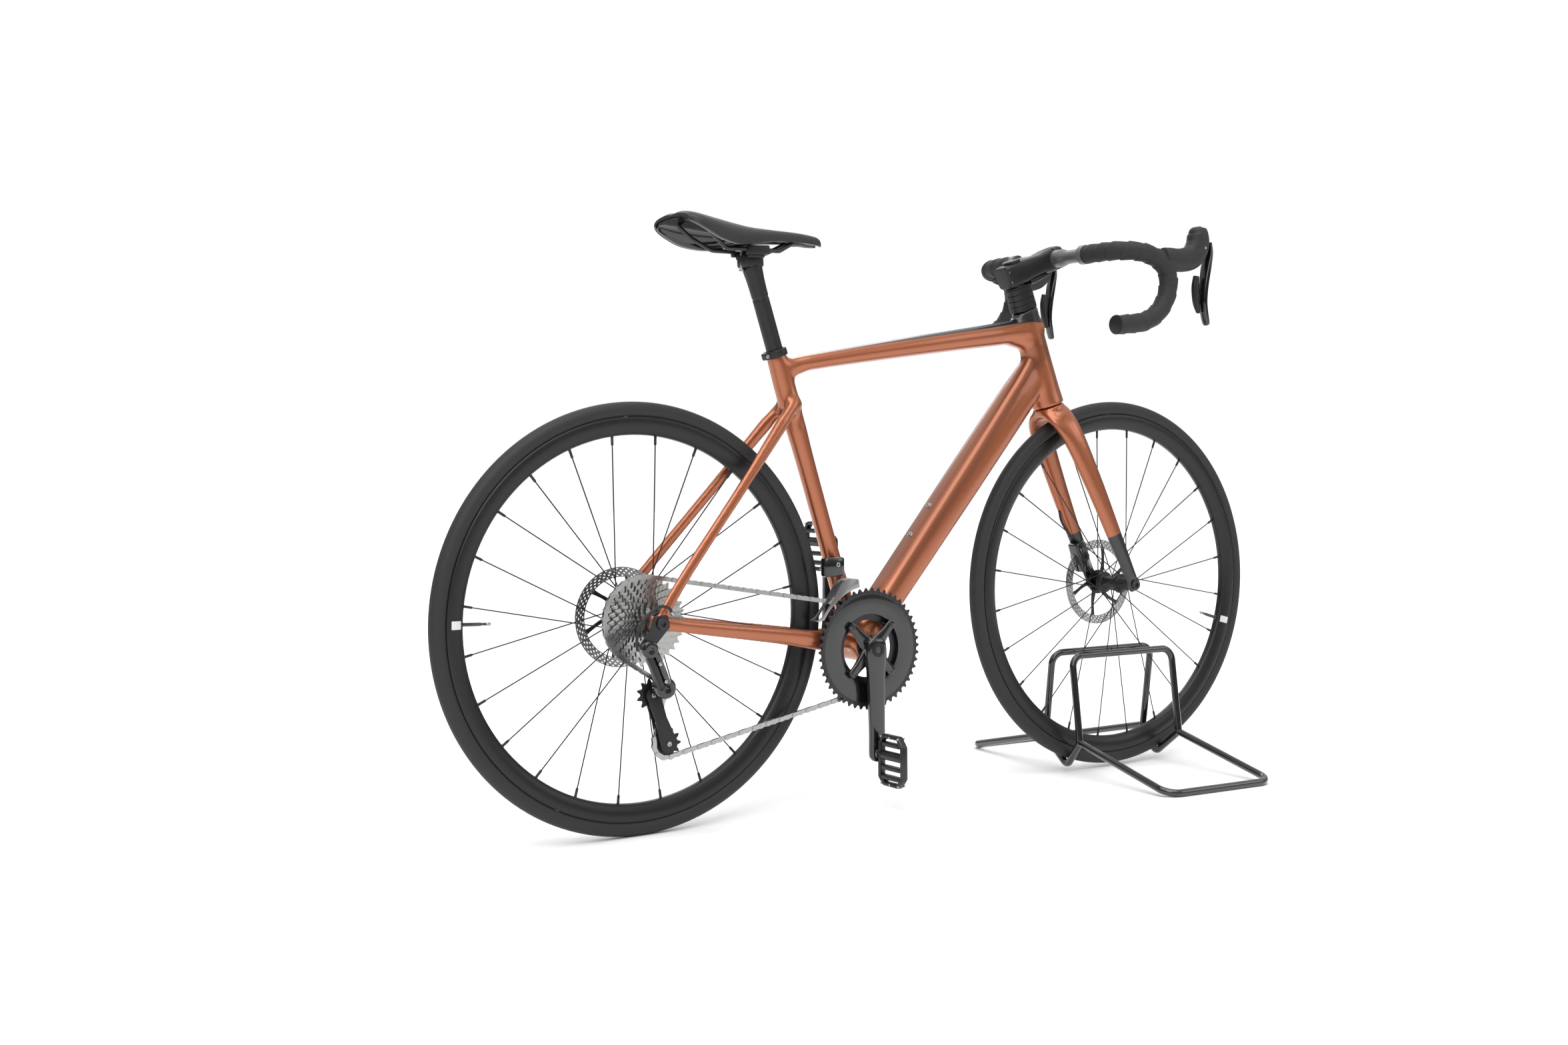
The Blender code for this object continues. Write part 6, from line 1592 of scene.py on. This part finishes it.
def build_chain():
    """The chain on the small ring and the largest sprocket, which have the same teeth."""
    sprocket = Vector((REAR_AXLE.x, LARGEST_SPROCKET_Y, REAR_AXLE.z))
    ring = Vector((CRANK_AXLE.x, SMALL_RING_Y, CRANK_AXLE.z))
    reach = pitch_radius(SPROCKET_TEETH[0])
    pulley = pitch_radius(PULLEY_TEETH)
    top_a, top_b = tangent_points(sprocket, reach, ring, reach, (1, 1))
    low_a, low_b = tangent_points(ring, reach, TENSION_PULLEY, pulley, (1, 1))
    mid_a, mid_b = tangent_points(TENSION_PULLEY, pulley, GUIDE_PULLEY, pulley, (1, -1))
    end_a, end_b = tangent_points(GUIDE_PULLEY, pulley, sprocket, reach, (-1, 1))
    path = wrap(ring, top_b, low_a, True, 60) + wrap(TENSION_PULLEY, low_b, mid_a, True, 24)
    path += wrap(GUIDE_PULLEY, mid_b, end_a, False, 24) + wrap(sprocket, end_b, top_a, True, 60)
    length = sum((b - a).length for a, b in zip(path, path[1:] + path[:1]))
    count = 2 * round(length / CHAIN_PITCH / 2)
    outer, inner = Shape(), Shape()
    for side in (-1, 1):
        link_half(outer, side * 0.0025, 0.0009, silver)
        link_half(inner, side * 0.0015, 0.0009, silver)
        inner.rod([(0.0036, -0.0011), (0.0036, 0.0011)], steel, Vector((side * 0.00635, 0, 0)), 10)
        outer.rod([(0.0017, -0.0031), (0.0017, 0.0031)], steel, Vector((side * 0.00635, 0, 0)), 8)
    outer_link, inner_link = outer.thing("outer_link"), inner.thing("inner_link")
    mesh = bpy.data.meshes.new("chain_run")
    mesh.from_pydata(path, [(i, (i + 1) % len(path)) for i in range(len(path))], [])
    chain = bpy.data.objects.new("roller_chain", mesh)
    bpy.context.scene.collection.objects.link(chain)
    grow(chain, path_tree(), count=count, outer_link=outer_link, inner_link=inner_link, finish=silver())
    for template in (outer_link, inner_link):
        bpy.data.objects.remove(template)
    if not chain.data.materials:
        chain.data.materials.append(silver())
    settle(chain, "frame", "chain")


def build_pedals():
    for word, side, end_y, toward in (("right", -1, -0.0675, -1), ("left", 1, 0.0670, 1)):
        eye = CRANK_AXLE + Vector((0, end_y, toward * CRANK_LENGTH))
        shape = Shape()
        low, high = (0.0125, 0.0740)
        path = [(low + 0.010, 0.0320), (high - 0.012, 0.0320), (high, 0.0180), (high, -0.0330),
                (high - 0.012, -0.0470), (low + 0.012, -0.0470), (low, -0.0360), (low, 0.0200)]
        for (y0, z0), (y1, z1) in zip(path, path[1:] + path[:1]):
            start = Vector((eye.x, eye.y + side * y0, eye.z + z0))
            end = Vector((eye.x, eye.y + side * y1, eye.z + z1))
            along = (end - start).normalized()
            deep = Vector((1, 0, 0))
            rings = [ellipse(start + along * d, deep, along.cross(deep), 0.0062 + g, 0.0034 + g, 20, 3.5)
                     for d, g in ((-0.0022, -0.0010), (0.0, 0.0), ((end - start).length, 0.0),
                                  ((end - start).length + 0.0022, -0.0010))]
            shape.add(*skin(rings), dark_metal)
        barrel = eye + Y_AXIS * side * 0.0430
        shape.rod([(0.0060, -0.0310), (0.0078, -0.0290), (0.0078, 0.0290), (0.0060, 0.0310)],
                  dark_metal, barrel, 40)
        for z in (0.0190, -0.0200, -0.0360):
            bar = Matrix.Translation((eye.x, barrel.y, eye.z + z))
            shape.block((0.0058, 0.0300, 0.0036), dark_metal, bar, 4.0, 24)
        for y in (0.0200, 0.0430, 0.0660):
            for z in (0.0320, -0.0470):
                for face in (-1, 1):
                    spot = Vector((eye.x + face * 0.0060, eye.y + side * y, eye.z + z * 0.985))
                    shape.rod([(0.0019, -0.001), (0.0019, 0.0012), (0.0012, 0.0019)], silver, segments=12,
                              place=placed(spot, Vector((face, 0, 0))))
        shape.piece("platform_pedal_" + word, "pedal_" + word, "pedal_" + word, bevel=0.0003)


# ---------------------------------------------------------------- derailleurs
def around_crank(radius, degrees):
    angle = math.radians(degrees)
    return CRANK_AXLE.x + radius * math.cos(angle), CRANK_AXLE.z + radius * math.sin(angle)


def cage_outline(ra, rb, slim):
    """Two round ends joined by drawn-in flanks, in the XZ plane."""
    a, b = GUIDE_PULLEY, TENSION_PULLEY
    along = (b - a).normalized()
    across = Vector((along.z, 0, -along.x))
    outline = []
    for i in range(21):
        angle = math.pi * i / 20
        outline.append(b + (across * math.cos(angle) + along * math.sin(angle)) * rb)
    outline.append((a + b) / 2 - across * slim)
    for i in range(21):
        angle = math.pi + math.pi * i / 20
        outline.append(a + (across * math.cos(angle) + along * math.sin(angle)) * ra)
    outline.append((a + b) / 2 + across * slim)
    return [(p.x, p.z) for p in outline]


def build_derailleurs():
    flat = Matrix.Rotation(math.pi / 2, 4, "X")
    cage = Shape()
    for y, ra, rb, slim in ((-0.0328, 0.0120, 0.0150, 0.0100), (-0.0172, 0.0100, 0.0150, 0.0090)):
        cage.plate(cage_outline(ra, rb, slim), 0.0021, satin_black, Matrix.Translation((0, y, 0)) @ flat)
    for centre in (GUIDE_PULLEY, TENSION_PULLEY):
        cage.rod([(0.0026, -0.0084), (0.0026, 0.0084)], silver, centre, 24)
        cage.bolt(across_axle(centre) @ Matrix.Translation((0, 0, 0.0088)), 0.0040, 0.0016, silver)
    cage.piece("pulley_cage", "derailleur_cage", "derailleur_cage", bevel=0.0004)
    for word, centre in (("guide", GUIDE_PULLEY), ("tension", TENSION_PULLEY)):
        tooth = tooth_template(PULLEY_TEETH, 0.0080, 0.0012, satin_black)
        teeth = welded(ring_of(tooth, word + "_teeth", centre, PULLEY_TEETH))
        hub = Shape().turned([(0.0029, -0.0040), (0.0029, 0.0040), (0.0072, 0.0040), (0.0082, 0.0030),
                              (0.0082, -0.0030), (0.0072, -0.0040)], dark_metal, centre, 40)
        join(hub.thing("hub"), teeth).piece(word + "_pulley_wheel", word + "_pulley", word + "_pulley")

    upper, lower = Vector((-0.5300, 0, 0.3020)), Vector((-0.4830, 0, 0.2360))
    rear = Shape()
    rear.rod([(0.0110, 0.0850), (0.0135, 0.0860), (0.0135, 0.0975), (0.0122, 0.0990), (0.0118, 0.1005),
              (0.0100, 0.1010), (0.0040, 0.1010), (0.0036, 0.0985)], gloss_black, upper, 56)
    rear.rod([(0.0140, 0.0350), (0.0162, 0.0380), (0.0165, 0.0400), (0.0165, 0.0590), (0.0155, 0.0615),
              (0.0130, 0.0640), (0.0045, 0.0640), (0.0040, 0.0610)], gloss_black, lower, 56)
    for shift in (-0.0052, 0.0052):
        stations = ((Vector((upper.x + shift, -0.0940, upper.z + shift * 0.5)), 0.0060, 0.0048),
                    (Vector((-0.5200 + shift, -0.0915, 0.2830 + shift * 0.5)), 0.0070, 0.0054),
                    (Vector((-0.4990 + shift, -0.0730, 0.2520 + shift * 0.5)), 0.0080, 0.0056),
                    (Vector((lower.x + shift, -0.0520, lower.z + shift * 0.5)), 0.0060, 0.0048))
        rear.loft(stations, gloss_black if shift > 0 else satin_black, 24, 3.2, 6)
    for spot in (Vector((-0.5150, -0.0985, 0.2800)), Vector((-0.4960, -0.0805, 0.2500))):
        rear.rod([(0.0030, -0.003), (0.0030, 0.0022), (0.0022, 0.0028)], silver, spot, 20)
    rear.piece("rear_mech", "frame", "rear_derailleur", bevel=0.0003, angle=50)

    mech = Shape()
    body = Matrix.Translation((-0.1545, -0.0330, 0.4070))
    mech.block((0.0200, 0.0105, 0.0160), gloss_black, body, 3.5, 40)
    mech.block((0.0100, 0.0080, 0.0110), satin_black, Matrix.Translation((-0.1400, -0.0265, 0.4080)), 3.5, 32)
    mech.bolt(placed(Vector((-0.1500, -0.0430, 0.4110)), -Y_AXIS, Z_AXIS), 0.0038, 0.0010, silver)
    mech.piece("front_mech", "frame", "front_derailleur", bevel=0.0004)

    top = ((0.1195, 154), (0.1125, 148), (0.1115, 137), (0.1155, 127), (0.1270, 113), (0.1200, 101))
    outline = [around_crank(0.1060, 101 + 49 * i / 24) for i in range(25)]
    outline += [around_crank(r, a) for r, a in curved(top, 4)]
    guide = Shape()
    for y in (-0.0500, -0.0293):
        guide.plate(outline, 0.0013, steel, Matrix.Translation((0, y, 0)) @ flat)
    for r, a in ((0.1135, 152.5), (0.1215, 110)):
        x, z = around_crank(r, a)
        guide.block((0.0035, 0.0103, 0.0012), silver, Matrix.Translation((x, -0.03965, z)), 4.0, 20)
    guide.piece("front_mech_cage", "front_derailleur_cage", "front_derailleur_cage", bevel=0.0003)


def build_cables():
    route = [(-0.4870, -0.0900, 0.3520), (-0.4980, -0.0960, 0.3640), (-0.5180, -0.1010, 0.3660),
             (-0.5390, -0.1020, 0.3530), (-0.5510, -0.1000, 0.3330), (-0.5530, -0.0970, 0.3130),
             (-0.5480, -0.0930, 0.2950)]
    path = curved_points(route, 8)
    loop = Shape().tube(path, 0.0023, soft_rubber, 20)
    for here, there in ((path[0], path[2]), (path[-1], path[-3])):
        loop.rod([(0.0024, -0.001), (0.0029, 0.0), (0.0029, 0.0070), (0.0024, 0.0078)], silver, segments=20,
                 place=placed(here, (there - here).normalized()))
    loop.piece("gear_cable_loop", "frame", "gear_housing")
    top = FRONT_AXLE + Vector((-0.0590, 0.0445, 0.0815))
    route = [top, top + Vector((-0.0130, 0.0, 0.0158)), top + Vector((-0.0250, 0.0025, 0.0358)),
             top + Vector((-0.0265, 0.0055, 0.0518)), top + Vector((-0.0230, 0.0075, 0.0598))]
    path = curved_points(route, 8)
    hose = Shape().tube(path, 0.0023, soft_rubber, 20)
    hose.rod([(0.0028, 0.0), (0.0034, 0.0010), (0.0034, 0.0090), (0.0028, 0.0100)], dark_metal, segments=24,
             place=placed(path[0], (path[2] - path[0]).normalized()))
    hose.piece("front_hose", "fork", "front_brake_hose")


# ---------------------------------------------------------------- studio
def shown(name, data):
    thing = bpy.data.objects.new(name, data)
    bpy.context.scene.collection.objects.link(thing)
    return thing


def build_stage():
    mesh = bpy.data.meshes.new("studio_floor")
    ring = [(14 * math.cos(a), 14 * math.sin(a), 0.0) for a in (2 * math.pi * i / 96 for i in range(96))]
    mesh.from_pydata(ring, [], [tuple(range(96))])
    floor = shown("studio_floor", mesh)
    pale = colours().floor
    paint = Paint("studio_floor", pale, 0.75)
    grain = paint.noise(3.0)
    paint.set("Base Color", paint.mix(grain, tuple(c * 0.985 for c in pale), pale))
    mesh.materials.append(paint.material)

    world = bpy.data.worlds.new("studio")
    world.use_nodes = True
    tree = world.node_tree
    glow = tree.nodes["Background"]
    place = tree.nodes.new("ShaderNodeTexCoord")
    height = tree.nodes.new("ShaderNodeSeparateXYZ")
    ramp = tree.nodes.new("ShaderNodeMapRange")
    seen = tree.nodes.new("ShaderNodeLightPath")
    either = tree.nodes.new("ShaderNodeMath")
    either.operation = "MAXIMUM"
    for key, level in (("From Min", 0.0), ("From Max", 0.60), ("To Min", 0.08), ("To Max", 0.85)):
        ramp.inputs[key].default_value = level
    tree.links.new(place.outputs["Generated"], height.inputs[0])
    tree.links.new(height.outputs["Z"], ramp.inputs["Value"])
    tree.links.new(ramp.outputs[0], either.inputs[0])
    tree.links.new(seen.outputs["Is Camera Ray"], either.inputs[1])
    tree.links.new(either.outputs[0], glow.inputs["Strength"])
    glow.inputs["Color"].default_value = (1.0, 1.0, 1.0, 1.0)
    bpy.context.scene.world = world
    bpy.context.scene.view_settings.view_transform = "Standard"
    sun = bpy.data.lights.new("sky", "SUN")
    sun.energy = 1.9
    sun.angle = math.radians(60)
    above = shown("sky", sun)
    above.rotation_euler = (math.radians(12), math.radians(-10), 0)
    lights = (("key", (-2.2, -2.6, 2.6), 2.0, 34.0), ("fill", (2.8, -2.6, 2.0), 1.6, 14.0),
              ("back", (1.2, 3.0, 2.8), 2.0, 24.0))
    for name, spot, size, power in lights:
        lamp = bpy.data.lights.new(name, "AREA")
        lamp.size = size
        lamp.energy = power
        thing = shown(name, lamp)
        thing.location = spot
        thing.rotation_euler = (Vector((0, 0, 0.5)) - Vector(spot)).to_track_quat("-Z", "Y").to_euler()

    camera = bpy.data.cameras.new("camera")
    camera.lens = 39.36
    camera.sensor_width = 36.0
    camera.shift_x = -0.01633
    camera.shift_y = 0.008376
    yaw, pitch, roll = math.radians(33.36), math.radians(-2.856), math.radians(-0.601)
    forward = Vector((math.sin(yaw) * math.cos(pitch), math.cos(yaw) * math.cos(pitch), math.sin(pitch)))
    level = Vector((math.cos(yaw), -math.sin(yaw), 0))
    upward = level.cross(forward)
    right = level * math.cos(roll) + upward * math.sin(roll)
    up = upward * math.cos(roll) - level * math.sin(roll)
    turn = Matrix((right, up, -forward)).transposed().to_4x4()
    eye = shown("camera", camera)
    eye.matrix_world = Matrix.Translation((-1.7395, -2.3721, 0.6000)) @ turn
    bpy.context.scene.camera = eye


# ---------------------------------------------------------------- operators
class Step:
    """One building step: its operator runs these functions in turn."""
    steps = ()

    def execute(self, context):
        for step in self.steps:
            step()
        return {"FINISHED"}


class BICYCLE_OT_stage(Step, Operator):
    """Lays the floor, the lights and the camera."""
    bl_idname = "bicycle.stage"
    bl_label = "Studio"
    steps = (build_stage,)


class BICYCLE_OT_frame(Step, Operator):
    """Builds the blended frame, its collar, its axle and its bottle bolts."""
    bl_idname = "bicycle.frame"
    bl_label = "Frame"
    steps = (build_frame,)


class BICYCLE_OT_seat(Step, Operator):
    """Builds the seatpost, the clamp, the rails and the saddle."""
    bl_idname = "bicycle.seat"
    bl_label = "Saddle and post"
    steps = (build_seat,)


class BICYCLE_OT_wheels(Step, Operator):
    """Builds both wheels with their spokes, valves and brake rotors."""
    bl_idname = "bicycle.wheels"
    bl_label = "Wheels"
    steps = (build_wheels,)


class BICYCLE_OT_stand(Step, Operator):
    """Bends the display stand's tubes."""
    bl_idname = "bicycle.stand"
    bl_label = "Display stand"
    steps = (build_stand,)


class BICYCLE_OT_fork(Step, Operator):
    """Builds the fork and its axle."""
    bl_idname = "bicycle.fork"
    bl_label = "Fork"
    steps = (build_fork,)


class BICYCLE_OT_cockpit(Step, Operator):
    """Builds the spacers, the stem, the drop bar and its tape."""
    bl_idname = "bicycle.cockpit"
    bl_label = "Stem and bar"
    steps = (build_cockpit,)


class BICYCLE_OT_controls(Step, Operator):
    """Builds the lever hoods, the brake levers and the shift paddles."""
    bl_idname = "bicycle.controls"
    bl_label = "Hoods and levers"
    steps = (build_controls,)


class BICYCLE_OT_brakes(Step, Operator):
    """Builds the two brake calipers."""
    bl_idname = "bicycle.brakes"
    bl_label = "Brake calipers"
    steps = (build_brakes,)


class BICYCLE_OT_drivetrain(Step, Operator):
    """Builds the cranks, the chainrings, the cassette, the chain and the pedals."""
    bl_idname = "bicycle.drivetrain"
    bl_label = "Cranks, cassette and chain"
    steps = (build_crank, build_cassette, build_chain, build_pedals)


class BICYCLE_OT_derailleurs(Step, Operator):
    """Builds the front and rear derailleurs."""
    bl_idname = "bicycle.derailleurs"
    bl_label = "Derailleurs"
    steps = (build_derailleurs,)


class BICYCLE_OT_cables(Step, Operator):
    """Builds the gear cable's loop and the front brake's hose."""
    bl_idname = "bicycle.cables"
    bl_label = "Cable and hose"
    steps = (build_cables,)


OPERATORS = (BICYCLE_OT_stage, BICYCLE_OT_frame, BICYCLE_OT_seat, BICYCLE_OT_wheels, BICYCLE_OT_stand,
             BICYCLE_OT_fork, BICYCLE_OT_cockpit, BICYCLE_OT_controls, BICYCLE_OT_brakes,
             BICYCLE_OT_drivetrain, BICYCLE_OT_derailleurs, BICYCLE_OT_cables)


class BICYCLE_PT_sidebar(Panel):
    """Lists the sizes, the colours and the building steps."""
    bl_idname = "BICYCLE_PT_sidebar"
    bl_label = "Road bicycle"
    bl_space_type = "VIEW_3D"
    bl_region_type = "UI"
    bl_category = "Bicycle"

    def draw(self, context):
        for group in (context.scene.bicycle_sizes, context.scene.bicycle_colours):
            box = self.layout.box()
            for name in group.bl_rna.properties.keys():
                if name not in ("rna_type", "name"):
                    box.prop(group, name)
        for operator in OPERATORS:
            self.layout.operator(operator.bl_idname)


CLASSES = (BicycleSizes, BicycleColours, *OPERATORS, BICYCLE_PT_sidebar)


def register():
    for made in CLASSES:
        bpy.utils.register_class(made)
    bpy.types.Scene.bicycle_sizes = PointerProperty(type=BicycleSizes)
    bpy.types.Scene.bicycle_colours = PointerProperty(type=BicycleColours)


def unregister():
    del bpy.types.Scene.bicycle_sizes
    del bpy.types.Scene.bicycle_colours
    for made in reversed(CLASSES):
        bpy.utils.unregister_class(made)


def main():
    register()
    for operator in OPERATORS:
        group, name = operator.bl_idname.split(".")
        getattr(getattr(bpy.ops, group), name)()


if __name__ == "__main__":
    main()
